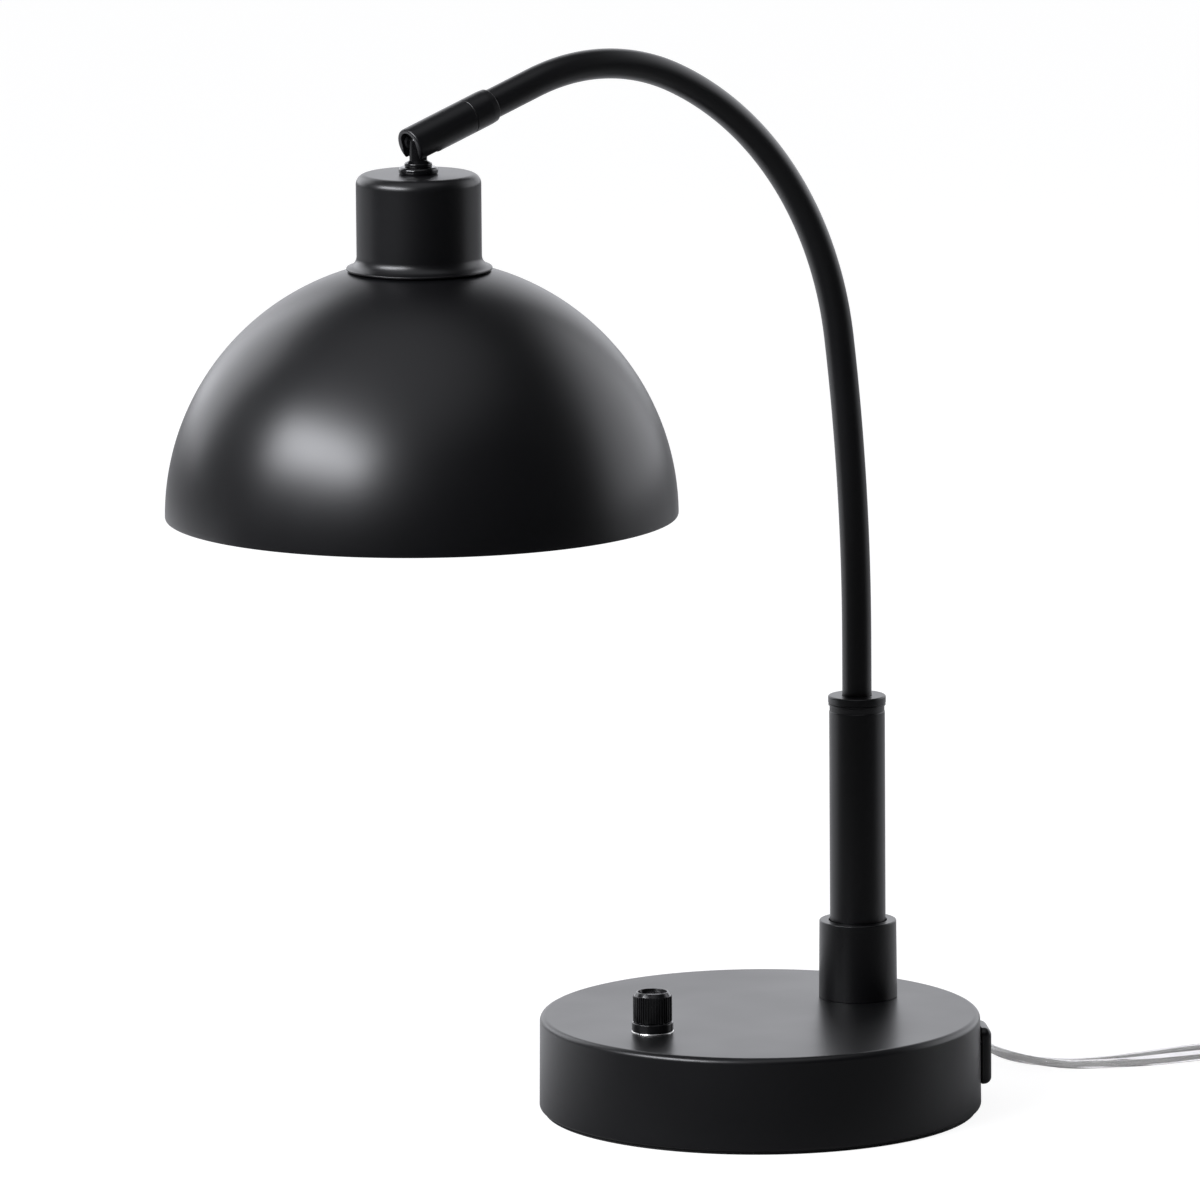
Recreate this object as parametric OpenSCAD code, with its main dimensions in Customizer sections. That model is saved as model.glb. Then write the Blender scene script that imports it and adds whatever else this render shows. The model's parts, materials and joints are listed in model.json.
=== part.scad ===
// Dome shade desk lamp: a weighted drum base with a dimmer, a swivelling bent tube arm,
// a knuckle and a hemispherical metal shade. Millimetres, +Z up. The origin is the centre
// of the drum's underside, the column stands on +X and the shade hangs over -X.

/* [Base] */
// Diameter of the drum
base_d = 180; // [160:1:240]
// Height of the drum with its foot pad
base_h = 39.5; // [36:0.5:60]
// Wall of the drum
base_wall = 2; // [1.2:0.1:3]
// Thickness of the drum's top plate
base_top_t = 2.5; // [1.5:0.1:4]
// Rounding of the drum's top edge
base_edge_r = 2.5; // [0.5:0.1:5]
// Thickness of the foot pad
pad_t = 1.5; // [1.4:0.1:4]
// Thickness of the bottom cover
cover_t = 1.2; // [0.8:0.1:2]
// Thickness of the cast weight
weight_t = 10; // [5:0.5:11]
// Distance of the three welded posts from the centre
post_ring_r = 60; // [50:1:64]

/* [Column] */
// Distance of the column from the base's centre
column_x = 52; // [40:1:56]
// Diameter of the collar at its foot
collar_d = 32.1; // [28:0.1:40]
// Height of the collar
collar_h = 32; // [24:0.5:50]
// Depth of the sleeve's seat in the collar
seat_depth = 11.5; // [6:0.5:16]
// Diameter of the sleeve
sleeve_d = 22.8; // [20:0.1:26]
// Wall of the sleeve
sleeve_wall = 2.4; // [1.5:0.1:3]
// Height of the sleeve's top edge above the drum
sleeve_top = 119; // [80:1:200]
// Diameter of the threaded nipple
nipple_d = 10; // [8:0.5:11]

/* [Dimmer] */
// Distance of the dimmer from the base's centre, away from the column
dimmer_x = 56; // [44:1:60]
// Diameter of the knob
knob_d = 15.8; // [12:0.1:22]
// Height of the knob
knob_h = 12; // [8:0.5:20]
// Number of ribs round the knob
knob_ribs = 44; // [24:2:60]
// Diameter of the dimmer's shaft
shaft_d = 6; // [4:0.5:6.5]

/* [Port] */
// Direction of the port from the centre, measured from +X
port_turn = -33; // [-50:1:-25]
// Width of the port's plate
port_w = 20; // [18:0.5:28]
// Height of the port's plate
port_h = 23.5; // [16:0.5:26]
// Thickness of the port's plate
port_t = 4; // [2:0.1:5]

/* [Arm] */
// Outside diameter of the tube
tube_d = 12; // [9:0.1:14]
// Wall of the tube
tube_wall = 1.2; // [0.8:0.1:2]
// Height above the drum at which the tube's first bend begins
arm_straight = 148.5; // [135:0.5:260]
// Radius of the slow first bend
bend_1_r = 900; // [600:10:1200]
// Angle of the slow first bend
bend_1_deg = 8; // [4:0.5:12]
// Radius of the main bend
bend_2_r = 147; // [110:1:190]
// Angle of the main bend
bend_2_deg = 57.5; // [45:0.5:70]
// Radius of the last bend
bend_3_r = 100; // [80:1:160]
// Angle of the last bend
bend_3_deg = 42; // [25:0.5:50]
// Length from the last bend to the knuckle's pin
knuckle_run = 61; // [45:0.5:90]
// Diameter of the ring cap on the tube
ring_d = 23.6; // [20:0.1:27]
// Height of the ring cap
ring_h = 4.1; // [3:0.1:8]

/* [Knuckle] */
// Diameter of the knuckle's barrel
barrel_d = 14.2; // [14:0.1:18]
// Length of the barrel
barrel_len = 30.2; // [28:0.1:40]
// Length of the barrel past the pin
fork_over = 4.6; // [4.5:0.1:5.5]
// Length of the end ring on the tube
ferrule_len = 11.8; // [6:0.1:14]
// Width of the slot in the barrel
slot_w = 9.2; // [8:0.1:9.6]
// Thickness of the lug between its flats
lug_t = 6.4; // [4.5:0.1:6.4]
// Diameter of the lug
lug_d = 7; // [6.6:0.1:9]
// Diameter of the cross pin
pin_d = 3.2; // [2.5:0.1:3.6]
// Height of the pin above the neck cap
lug_rise = 12.6; // [12:0.1:20]

/* [Shade] */
// Diameter of the dome at its rim
dome_d = 203; // [170:1:260]
// Wall of the dome
dome_wall = 1.2; // [0.8:0.1:2]
// Diameter of the neck cap
cap_d = 49.4; // [47:0.1:60]
// Height of the neck cap above the dome's flat land
cap_h = 37.5; // [36:0.5:50]
// Wall of the neck cap
cap_wall = 1.4; // [0.8:0.1:2]
// Rounding of the neck cap's top edge
cap_edge_r = 4; // [2:0.1:6]
// Diameter of the flared lip of the neck cap
lip_d = 57.6; // [54:0.1:70]
// Height of the flare
lip_h = 7.4; // [4:0.1:12]
// Diameter of the ring nut on the neck cap
nut_d = 15.6; // [13:0.1:15.6]
// Height of the ring nut
nut_h = 2.8; // [2:0.1:4]

/* [Lamp holder and bulb] */
// Diameter of the holder's body
holder_d = 39.8; // [37:0.1:42]
// Diameter of the holder's skirt
skirt_d = 34.4; // [33:0.1:36]
// Inside diameter of the holder
holder_bore = 28.8; // [28.4:0.1:30]
// Diameter of the bulb's screw cap
bulb_cap_d = 26.2; // [25.8:0.1:26.6]
// Diameter of the bulb's globe
bulb_d = 60; // [45:1:64]
// Length of the bulb with its cap
bulb_len = 104; // [90:1:106]

/* [Cord] */
// Length of the cord from the strain relief to the plug
cord_len = 1820; // [1500:5:3000]
// Width of the flat cord
cord_w = 7.1; // [5.5:0.1:8]
// Thickness of the flat cord
cord_t = 3.6; // [2.5:0.1:4]
// Height of the cord's outlet above the floor
outlet_z = 19; // [18.5:0.5:20]
// Length of the strain relief outside the drum
relief_len = 20; // [20:1:30]
// Number of loops in the coil
coil_turns = 7; // [5:1:9]

/* [Fits] */
// Clearance between a shaft and its bearing, on the radius
run_gap = 0.05; // [0.02:0.01:0.1]
// Clearance between pieces that don't move on each other
fit_gap = 0.05; // [0.02:0.01:0.1]

/* [Hidden] */

$fn = 64;
eps = 0.01;

black = "#1b1b1d";
black_gloss = "#101012";
plastic_black = "#202022";
rubber_black = "#161616";
cast_grey = "#4b4b4d";
zinc = "#b9bcbe";
brass = "#b08d3e";
nylon = "#e6e2d8";
clear_pvc = "#d5d8d4";
opal = "#f4f1e8";
porcelain = "#f0ede4";

// Base, from the floor up
base_r = base_d / 2;
base_taper = 0.4;
shell_foot_r = 1.2;
cover_z = pad_t;
weight_z = cover_z + cover_t;
weight_top = weight_z + weight_t;
shell_under_top = base_h - base_top_t;
inner_r = base_r - base_wall;
pad_inset = 2;
post_angles = [90, 210, 330];
post_d = 8;
screw_d = 4;
screw_head_d = 8;
screw_head_h = 1.2;
screw_bite = 9;

// Column
sleeve_seat_z = base_h + collar_h - seat_depth;
sleeve_top_z = base_h + sleeve_top;
sleeve_r = sleeve_d / 2;
sleeve_bore_r = sleeve_r - sleeve_wall;
collar_taper = 0.3;
collar_mouth_gap = 0.5;
column_edge = 0.5;
nipple_r = nipple_d / 2;
nipple_bore_r = nipple_r - 1.5;
nipple_washer_t = 1.5;
nipple_nut_h = 6;
nipple_nut_af = 1.7 * nipple_d;
nipple_foot_z = shell_under_top - nipple_washer_t - nipple_nut_h - 2.5;
plug_h = 12;
nipple_top_z = sleeve_seat_z + plug_h - 2;
tube_foot_z = sleeve_seat_z + plug_h + 2;
clip_z = tube_foot_z + 2;
clip_t = 1.2;
bushing_len = 10;
lower_bushing_z = clip_z + clip_t + 0.5;
bushing_flange_d = sleeve_d - 0.4;
bushing_flange_h = 2.1;
ring_z = sleeve_top_z + bushing_flange_h + 0.1;
tube_r = tube_d / 2;
tube_bore_r = tube_r - tube_wall;
groove_depth = 0.6;
joint_gap = 0.02;
joint_band = 1;

// Dimmer
dimmer_size = 22;
dimmer_h = 13;
dimmer_thread_r = shaft_d / 2 + 0.6;
dimmer_washer_d = knob_d + 1.6;
dimmer_washer_t = 0.5;
dimmer_ring_d = knob_d + 1;
dimmer_ring_h = 3.6;
knob_z = base_h + dimmer_washer_t + dimmer_ring_h + 0.4;
knob_edge = 1.5;
knob_dish = 0.5;
knob_cavity = 8;
rib_depth = 0.35;
shaft_r = shaft_d / 2;
shaft_flat = 0.5 * shaft_r;
shaft_foot_z = base_h - base_top_t - dimmer_h + 4;

// Port: a plate with a rectangular receptacle behind it
port_z = weight_top + 2 + port_h / 4;
port_edge = 2;
port_corner = 2;
port_body_w = 16;
port_body_h = 11;
port_depth = 14;
usb_w = 12.5;
usb_h = 5.1;
usb_wall = 0.3;
usb_tongue_t = 1.8;

// Arm path: a straight foot and three bends in the XZ plane. A place on it is
// [x, z, heading], where the heading is the lean from upright towards -X.
bends = [[bend_1_r, bend_1_deg], [bend_2_r, bend_2_deg], [bend_3_r, bend_3_deg]];
bend_foot_z = base_h + arm_straight;
function path_place(i) = i == 0 ? [column_x, bend_foot_z, 0] :
    let (p = path_place(i - 1), r = bends[i - 1][0], a = bends[i - 1][1], h = p[2])
    [p[0] - r * cos(h) + r * cos(h + a), p[1] - r * sin(h) + r * sin(h + a), h + a];
arm_end = path_place(len(bends));
pivot_x = arm_end[0] - knuckle_run * sin(arm_end[2]);
pivot_z = arm_end[1] + knuckle_run * cos(arm_end[2]);

// Knuckle, along the barrel from its pin
barrel_r = barrel_d / 2;
seam_at = fork_over - barrel_len;
tube_stop = -15;
cavity_back = -7;
mouth_lift = 0.9;
lug_r = lug_d / 2;
washer_gap = 0.05;
friction_washer_t = (slot_w - lug_t) / 2 - 2 * washer_gap;
pin_r = pin_d / 2;
pin_head_r = pin_r + 1.3;
pin_head_h = 0.9;
pin_reach = barrel_r - 1.2;
shoulder_d = 10.9;
shoulder_h = 1.6;
lead_r = 1.7;

// Shade, upwards from its rim
dome_r = dome_d / 2;
land_r = cap_d / 2 - 0.2;
land_h = sqrt(dome_r * dome_r - land_r * land_r);
land_under = land_h - dome_wall;
cap_top = land_h + cap_h;
rim_z = pivot_z - lug_rise - cap_top;
lip_gap = 0.8;
lip_foot = sqrt(dome_r * dome_r - pow(lip_d / 2, 2)) + lip_gap;
lip_t = 1.2;
stem_r = 4.9;
lock_washer_t = 1;
lock_nut_h = 5;
lock_nut_af = 15;

// Lamp holder and bulb, upwards from the rim
holder_top = land_h + 23.5;
holder_neck_h = 4.5;
holder_plate = 4;
skirt_foot = land_h - 14;
insulator_t = 3.5;
insulator_foot = holder_top - holder_plate - insulator_t;
screw_shell_foot = skirt_foot + 6;
stem_foot = holder_top - holder_plate;
contact_h = 1.9;
shade_ring_d = 45;
shade_ring_h = 4;
bulb_top = insulator_foot - contact_h;
bulb_cap_len = 24;
bulb_contact_h = 1.5;
bulb_cap_foot = bulb_top - bulb_cap_len;
bulb_centre = bulb_top - bulb_len + bulb_d / 2;
bulb_glass = 0.8;

// Cord outlet in the wall, as far to one side of the column as the port is to the other
outlet_turn = -port_turn;
outlet_dir = [cos(outlet_turn), sin(outlet_turn)];
relief_root_r = 5.2;
relief_end_r = 4.3;
outlet_flange_r = 7.5;
outlet_flange_t = 2.2;
outlet_body_r = 4.9;
outlet_body_in = 6;
outlet_nut_af = 13;

// The cord's section: eight sides for the lead and, for the coil, six with flat ends
oval_8 = [for (k = [0:7]) let (a = 22.5 + 45 * k)
    [cord_w / 2 * cos(a) / cos(22.5), cord_t / 2 * sin(a) / cos(22.5)]];
oval_6 = [[0.5, 0.5], [0, 1], [-0.5, 0.5], [-0.5, -0.5], [0, -1], [0.5, -0.5]]
    * [[cord_w, 0], [0, cord_t / 2]];

// Free cord, from the end of the strain relief: [along the outlet, across it, lift, roll].
// Lift runs from 0 on the floor to 1 at the outlet's height. A roll of 90 lays the cord's
// width flat and 0 stands it on edge.
lead_points = [
    [0, 0, 1, 90],
    [3, 0, 1, 90],
    [10.5, -0.9, 0.97, 90],
    [19.9, -5, 0.86, 90],
    [27.4, -11.9, 0.69, 92],
    [32.3, -20.9, 0.48, 96],
    [34, -31, 0.28, 100],
    [32.3, -41.1, 0.12, 106],
    [27.8, -49.7, 0.04, 112],
    [18.3, -58, 0.01, 116],
    [10.3, -64.6, 0, 118],
    [3.6, -72.6, 0, 116],
    [-0.9, -81.9, 0, 108],
    [-2.2, -92.2, 0, 98],
    [-0.1, -102.4, 0, 88],
    [4.1, -112.2, 0, 80],
    [9.5, -122.4, 0, 66],
    [16.2, -133.1, 0, 42],
    [24.1, -143.8, 0.005, 14],
    [32.6, -154.2, 0.02, 4],
    [41.1, -163.7, 0.04, 0],
    [48.3, -171, 0.04, 0]
];
function rest_height(roll) = 0.05
    + max(oval_8[0] * [abs(cos(roll)), sin(roll)], oval_8[1] * [abs(cos(roll)), sin(roll)]);
lead_route = [for (p = lead_points)
    [p[0], p[1], rest_height(p[3]) + p[2] * (outlet_z - rest_height(p[3])), p[3]]];
coil_heading = -43;
coil_gap = 0.6;
coil_exit = 25;
coil_pitch = cord_t + coil_gap;
coil_rise = cord_w + coil_gap;
loop_rings = 24;
tie_t = 0.6;
tie_w = 7;
tie_slack = 0.4;
function path_length(p) =
    [for (i = [1:len(p) - 1]) norm(xyz(p[i]) - xyz(p[i - 1]))] * [for (i = [1:len(p) - 1]) 1];
function xyz(p) = [p[0], p[1], p[2]];
lead_len = path_length(lead_route);
coil_mean_r = (cord_len - lead_len - cord_w - coil_exit) / (coil_turns * 360) * (180 / PI);
coil_out_r = coil_mean_r + coil_pitch * coil_turns / 4;
coil_start = lead_route[len(lead_route) - 1];
coil_dir = [cos(coil_heading), sin(coil_heading), 0];
coil_side = [sin(coil_heading), -cos(coil_heading), 0];
coil_centre = xyz(coil_start) + cord_w * coil_dir + coil_out_r * coil_side;
coil_end_z = coil_start[2] + coil_rise;

// Turns 0 to coil_turns: in to the middle of the coil on the floor, then out again on top.
// The cord climbs in half a turn, where it dips further in to clear its neighbours.
function ease(u) = let (c = min(max(u, 0), 1)) c * c * (3 - 2 * c);
climb_dip = coil_pitch * 0.55;
function coil_dip(t) = climb_dip * (1 - ease((abs(t - coil_turns / 2) - 0.27) / 0.23));
function coil_radius(t) = coil_out_r - coil_pitch * min(t, coil_turns - t) - coil_dip(t);
function coil_point(t) =
    let (a = coil_heading + 90 - 360 * t, r = coil_radius(t),
         rise = coil_rise * ease((t - coil_turns / 2) / 0.5 + 0.5))
    [coil_centre[0] + r * cos(a), coil_centre[1] + r * sin(a), coil_start[2] + rise, 0];
coil_route = concat(
    [coil_start],
    [for (i = [0:coil_turns * loop_rings]) coil_point(i / loop_rings)],
    [for (l = [0.5, 1] * coil_exit) let (e = coil_point(coil_turns) + concat(l * coil_dir, [0])) e]
);
coil_end = coil_route[len(coil_route) - 1];
coil_steps = coil_turns * loop_rings;
function turn_gap(i, k) =
    let (a = coil_point(i / loop_rings), b = coil_point((i + k) / loop_rings))
    max(norm([a[0] - b[0], a[1] - b[1]]) * cos(180 / loop_rings) - cord_t, abs(a[2] - b[2]) - cord_w);
least_gap = min([for (i = [0:coil_steps], k = [loop_rings - 2:coil_steps])
    if (i + k <= coil_steps) turn_gap(i, k)]);
echo(coil_mean_diameter = 2 * coil_mean_r, coil_least_gap = least_gap);
echo(lead_length = lead_len, cord_length = lead_len + path_length(coil_route));
echo(pivot = [pivot_x, pivot_z], rim_z = rim_z, dome_top = rim_z + land_h);

// Two-blade plug that stands on its narrow edge at the coil's end
plug_w = 2 * coil_end_z;
plug_t = 14;
plug_len = 26;
plug_neck_len = 12;
plug_corner = 4;
blade_gap = 12.7;
blade_w = 6.35;
blade_t = 1.5;
blade_len = 16;
blade_root = 6;
blade_hole_d = 3.2;

// ---- Shared shapes ----

// A ring between two radii, standing on z = 0
module ring(outer_r, bore_r, h) {
    difference() {
        cylinder(r = outer_r, h = h);
        translate([0, 0, -eps]) cylinder(r = bore_r, h = h + 2 * eps);
    }
}

// The outline, from the axis out, of a disc with a rounded top edge
module round_top_outline(r, h, edge) {
    square([r - edge, h]);
    square([r, h - edge]);
    translate([r - edge, h - edge]) circle(r = edge);
}

// A rectangle with round corners
module round_rect(w, h, corner) {
    square([w - 2 * corner, h], center = true);
    square([w, h - 2 * corner], center = true);
    for (x = [-1, 1], y = [-1, 1])
        translate([x * (w / 2 - corner), y * (h / 2 - corner)]) circle(r = corner);
}

module hex_nut(af, bore_r, h) {
    difference() {
        cylinder(d = af / cos(30), h = h, $fn = 6);
        translate([0, 0, -eps]) cylinder(r = bore_r, h = h + 2 * eps);
    }
}

// One bend from the local origin towards +Z, short of its true ends by half a joint
module bend_solid(bend_r, angle, outer_r, bore_r = 0) {
    trim = joint_gap / 2 / bend_r * 180 / PI;
    translate([-bend_r, 0, 0]) rotate([90, 0, 0]) rotate(trim)
        rotate_extrude(angle = angle - 2 * trim, $fn = 128)
            translate([bend_r, 0]) tube_section(outer_r, bore_r);
}

module tube_section(outer_r, bore_r = 0) {
    difference() {
        circle(r = outer_r);
        if (bore_r > 0) circle(r = bore_r);
    }
}

// Children at the path's place i, with local Z along the tube
module at_place(i) {
    p = path_place(i);
    translate([p[0], 0, p[1]]) rotate([0, -p[2], 0]) children();
}

// Children at the knuckle's pin, with local Z along the barrel, out of its open end
module at_knuckle() {
    translate([pivot_x, 0, pivot_z]) rotate([0, -arm_end[2], 0]) children();
}

module at_column(z = 0) {
    translate([column_x, 0, z]) children();
}

// Children above the centre of the shade's rim
module at_shade(z = 0) {
    translate([pivot_x, 0, rim_z + z]) children();
}

// Children at the port, with local X out of the drum's wall
module at_port() {
    rotate([0, 0, port_turn]) translate([base_r, 0, port_z]) children();
}

// Children at the cord's outlet, with local X out of the drum's wall
module at_outlet(r = 0) {
    rotate([0, 0, outlet_turn]) translate([r, 0, 0]) children();
}

module at_posts() {
    for (a = post_angles) rotate([0, 0, a]) translate([post_ring_r, 0, 0]) children();
}

// The whole arm path swept with one section, from z = foot_z to the place "stop" along the barrel.
// The pieces stop short of one another, and a band inside the wall joins each pair.
module arm_sweep(foot_z, stop, outer_r, bore_r = 0) {
    at_column(foot_z) linear_extrude(bend_foot_z - foot_z - joint_gap / 2) tube_section(outer_r, bore_r);
    for (i = [0:len(bends) - 1])
        at_place(i) bend_solid(bends[i][0], bends[i][1], outer_r, bore_r);
    at_place(len(bends)) translate([0, 0, joint_gap / 2])
        linear_extrude(knuckle_run + stop - joint_gap / 2) tube_section(outer_r, bore_r);
    for (i = [0:len(bends)])
        at_place(i) translate([0, 0, -joint_band / 2]) linear_extrude(joint_band)
            tube_section(outer_r - joint_gap, bore_r > 0 ? bore_r + joint_gap : 0);
}

// ---- A cord swept along hand-set points ----

function unit(v) = v / norm(v);
function route_tangent(p, i) = unit(xyz(p[min(i + 1, len(p) - 1)]) - xyz(p[max(i - 1, 0)]));
// Ring i of a cord: its section's points set across the tangent, turned by the point's roll
function cord_ring(p, i, section) =
    let (t = route_tangent(p, i), side = unit(cross([0, 0, 1], t)), up = cross(t, side), roll = p[i][3],
         wide = cos(roll) * up + sin(roll) * side, thin = cos(roll) * side - sin(roll) * up)
    [for (s = section) xyz(p[i]) + s[0] * wide + s[1] * thin];

module cord_tube(p, section) {
    n = len(section);
    rings = len(p);
    points = [for (i = [0:rings - 1]) each cord_ring(p, i, section)];
    sides = [for (i = [0:rings - 2], j = [0:n - 1])
        let (a = i * n + j, b = i * n + (j + 1) % n, c = a + n, d = b + n) each [[a, c, b], [b, c, d]]];
    foot = [for (j = [1:n - 2]) [0, j, j + 1]];
    head = [for (j = [1:n - 2]) let (o = (rings - 1) * n) [o, o + j + 1, o + j]];
    polyhedron(points = points, faces = concat(sides, foot, head), convexity = 8);
}

// An inner lead: a small round tube along points with no roll
module inner_lead(p) {
    cord_tube([for (q = p) concat(q, [0])], [for (k = [0:7]) lead_r * [cos(45 * k), sin(45 * k)]]);
}

// ---- Base ----

// Full disc with a hole round each screw's head
module foot_pad() {
    color(rubber_black) difference() {
        cylinder(r = base_r - pad_inset, h = pad_t);
        at_posts() translate([0, 0, -eps]) cylinder(d = screw_head_d + 2, h = pad_t + 1);
    }
}

module bottom_cover() {
    color(zinc) difference() {
        translate([0, 0, cover_z]) cylinder(r = inner_r - 0.4, h = cover_t);
        at_posts() cylinder(d = screw_d + 0.6, h = weight_z + 1);
    }
}

module cover_screws() {
    color(zinc) at_posts() {
        translate([0, 0, cover_z - screw_head_h]) difference() {
            cylinder(d1 = screw_head_d - 1, d2 = screw_head_d, h = screw_head_h);
            translate([-screw_head_d / 2, -0.5, -eps]) cube([screw_head_d, 1, 0.6]);
        }
        translate([0, 0, cover_z]) cylinder(d = screw_d, h = cover_t + weight_t + screw_bite);
    }
}

module base_weight() {
    color(cast_grey) difference() {
        translate([0, 0, weight_z]) cylinder(r = inner_r - 1.5, h = weight_t);
        at_posts() cylinder(d = screw_d + 0.6, h = weight_top + 1);
        at_outlet(inner_r - 9) translate([0, 0, outlet_z]) rotate([0, 90, 0])
            cylinder(d = outlet_nut_af + 4, h = 20);
    }
}

// Pressed drum, open below, with its holes for the column, the dimmer, the port and the cord
module base_shell() {
    wall_h = base_h - cover_z;
    color(black) difference() {
        translate([0, 0, cover_z]) rotate_extrude() {
            difference() {
                union() {
                    translate([0, shell_foot_r]) polygon([
                        [0, 0], [base_r, 0], [base_r - base_taper, wall_h - shell_foot_r - base_edge_r],
                        [0, wall_h - shell_foot_r - base_edge_r]]);
                    translate([base_r - shell_foot_r, shell_foot_r]) circle(r = shell_foot_r);
                    square([base_r - shell_foot_r, shell_foot_r * 2]);
                    translate([0, shell_foot_r]) round_top_outline(
                        base_r - base_taper, wall_h - shell_foot_r, base_edge_r);
                }
                translate([0, -eps]) square([inner_r, wall_h - base_top_t + eps]);
                translate([-base_r, -1]) square([base_r, wall_h + 2]);
            }
        }
        at_column() cylinder(r = nipple_r + 0.2, h = base_h + 1);
        translate([-dimmer_x, 0, 0]) cylinder(r = dimmer_thread_r + 0.1, h = base_h + 1);
        at_port() cube([4 * base_wall, port_body_w + 0.2, port_body_h + 0.2], center = true);
        at_outlet(inner_r - 5) translate([0, 0, outlet_z]) rotate([0, 90, 0])
            cylinder(r = outlet_body_r + 0.1, h = base_wall + 10);
    }
}

module weld_posts() {
    color(zinc) at_posts() translate([0, 0, weight_top]) difference() {
        cylinder(d = post_d, h = shell_under_top - weight_top);
        translate([0, 0, -eps]) cylinder(d = screw_d + 2 * fit_gap, h = screw_bite + 2);
    }
}

// ---- Column ----

module column_collar() {
    collar_r = collar_d / 2;
    color(black) at_column(base_h) difference() {
        union() {
            cylinder(r1 = collar_r, r2 = collar_r - collar_taper, h = collar_h - column_edge);
            translate([0, 0, collar_h - column_edge])
                cylinder(r1 = collar_r - collar_taper, r2 = collar_r - collar_taper - column_edge,
                         h = column_edge);
        }
        translate([0, 0, -eps]) cylinder(r = nipple_r + 0.2, h = collar_h);
        translate([0, 0, collar_h - seat_depth])
            cylinder(r = sleeve_r + collar_mouth_gap, h = seat_depth + 1);
    }
}

module column_nipple() {
    color(zinc) at_column(nipple_foot_z) ring(nipple_r, nipple_bore_r, nipple_top_z - nipple_foot_z);
}

module nipple_washer() {
    color(zinc) at_column(shell_under_top - nipple_washer_t)
        ring(1.9 * nipple_r, nipple_r + 0.2, nipple_washer_t);
}

module nipple_nut() {
    color(zinc) at_column(shell_under_top - nipple_washer_t - nipple_nut_h)
        hex_nut(nipple_nut_af, nipple_r + fit_gap, nipple_nut_h);
}

// Plug pressed in the sleeve's foot, threaded on the nipple
module sleeve_plug() {
    color(zinc) at_column(sleeve_seat_z) difference() {
        cylinder(r = sleeve_bore_r - fit_gap, h = plug_h);
        translate([0, 0, -eps]) cylinder(r = nipple_r + fit_gap, h = plug_h - 2 + eps);
        cylinder(r = nipple_bore_r, h = plug_h + 1);
    }
}

module column_sleeve() {
    h = sleeve_top_z - sleeve_seat_z;
    color(black) at_column(sleeve_seat_z) difference() {
        union() {
            cylinder(r = sleeve_r, h = h - column_edge);
            translate([0, 0, h - column_edge])
                cylinder(r1 = sleeve_r, r2 = sleeve_r - column_edge, h = column_edge);
        }
        translate([0, 0, -eps]) cylinder(r = sleeve_bore_r, h = h + 1);
    }
}

// Two plain bearings for the tube. The upper one's flange is the band under the ring cap.
module swivel_bushings() {
    bore = tube_r + run_gap;
    color(rubber_black) {
        at_column(lower_bushing_z) ring(sleeve_bore_r - fit_gap, bore, bushing_len);
        at_column(sleeve_top_z - bushing_len) ring(sleeve_bore_r - fit_gap, bore, bushing_len + 1);
        at_column(sleeve_top_z) ring(bushing_flange_d / 2, bore, bushing_flange_h);
    }
}

// ---- Dimmer ----

module dimmer_body() {
    color(plastic_black) translate([-dimmer_x, 0, 0]) difference() {
        union() {
            translate([-dimmer_size / 2, -dimmer_size / 2, shell_under_top - dimmer_h])
                cube([dimmer_size, dimmer_size, dimmer_h]);
            translate([0, 0, shell_under_top - eps])
                cylinder(r = dimmer_thread_r, h = base_top_t + dimmer_washer_t + dimmer_ring_h - 0.4);
        }
        translate([0, 0, shaft_foot_z - 0.2]) cylinder(r = shaft_r + run_gap, h = base_h);
    }
}

module dimmer_washer() {
    color(zinc) translate([-dimmer_x, 0, base_h])
        ring(dimmer_washer_d / 2, dimmer_thread_r + fit_gap, dimmer_washer_t);
}

module dimmer_ring() {
    r = dimmer_ring_d / 2;
    color(black_gloss) translate([-dimmer_x, 0, base_h + dimmer_washer_t]) difference() {
        union() {
            cylinder(r1 = r - 0.8, r2 = r, h = 0.8);
            translate([0, 0, 0.8]) cylinder(r = r, h = dimmer_ring_h - 1.1);
            translate([0, 0, dimmer_ring_h - 0.3]) cylinder(r1 = r, r2 = r - 0.3, h = 0.3);
        }
        translate([0, 0, -eps]) cylinder(r = dimmer_thread_r + fit_gap, h = dimmer_ring_h + 1);
    }
}

// D-shaped shaft, round where it turns in the dimmer
module dimmer_shaft() {
    top = knob_z + knob_cavity - 0.5;
    color(zinc) translate([-dimmer_x, 0, shaft_foot_z]) difference() {
        cylinder(r = shaft_r, h = top - shaft_foot_z);
        translate([shaft_flat, -shaft_r, knob_z - shaft_foot_z]) cube([shaft_r, 2 * shaft_r, knob_h]);
    }
}

module dimmer_knob() {
    r = knob_d / 2;
    root_r = r - rib_depth;
    rib_w = PI * knob_d / knob_ribs * 0.55;
    rib_h = knob_h - knob_edge;
    color(black_gloss) translate([-dimmer_x, 0, knob_z]) difference() {
        union() {
            cylinder(r = root_r, h = rib_h);
            linear_extrude(rib_h - 0.3) for (i = [0:knob_ribs - 1])
                rotate(i * 360 / knob_ribs) translate([root_r - 0.5, -rib_w / 2])
                    square([rib_depth + 0.5, rib_w]);
            translate([0, 0, rib_h]) cylinder(r1 = root_r, r2 = root_r - knob_edge, h = knob_edge);
        }
        translate([0, 0, knob_h - knob_dish]) cylinder(r = root_r - knob_edge - 0.6, h = 1);
        difference() {
            translate([0, 0, -eps]) cylinder(r = shaft_r + fit_gap, h = knob_cavity);
            translate([shaft_flat + fit_gap, -shaft_r, -1]) cube([shaft_r, 2 * shaft_r, knob_h]);
        }
    }
}

// ---- Port ----

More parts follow.
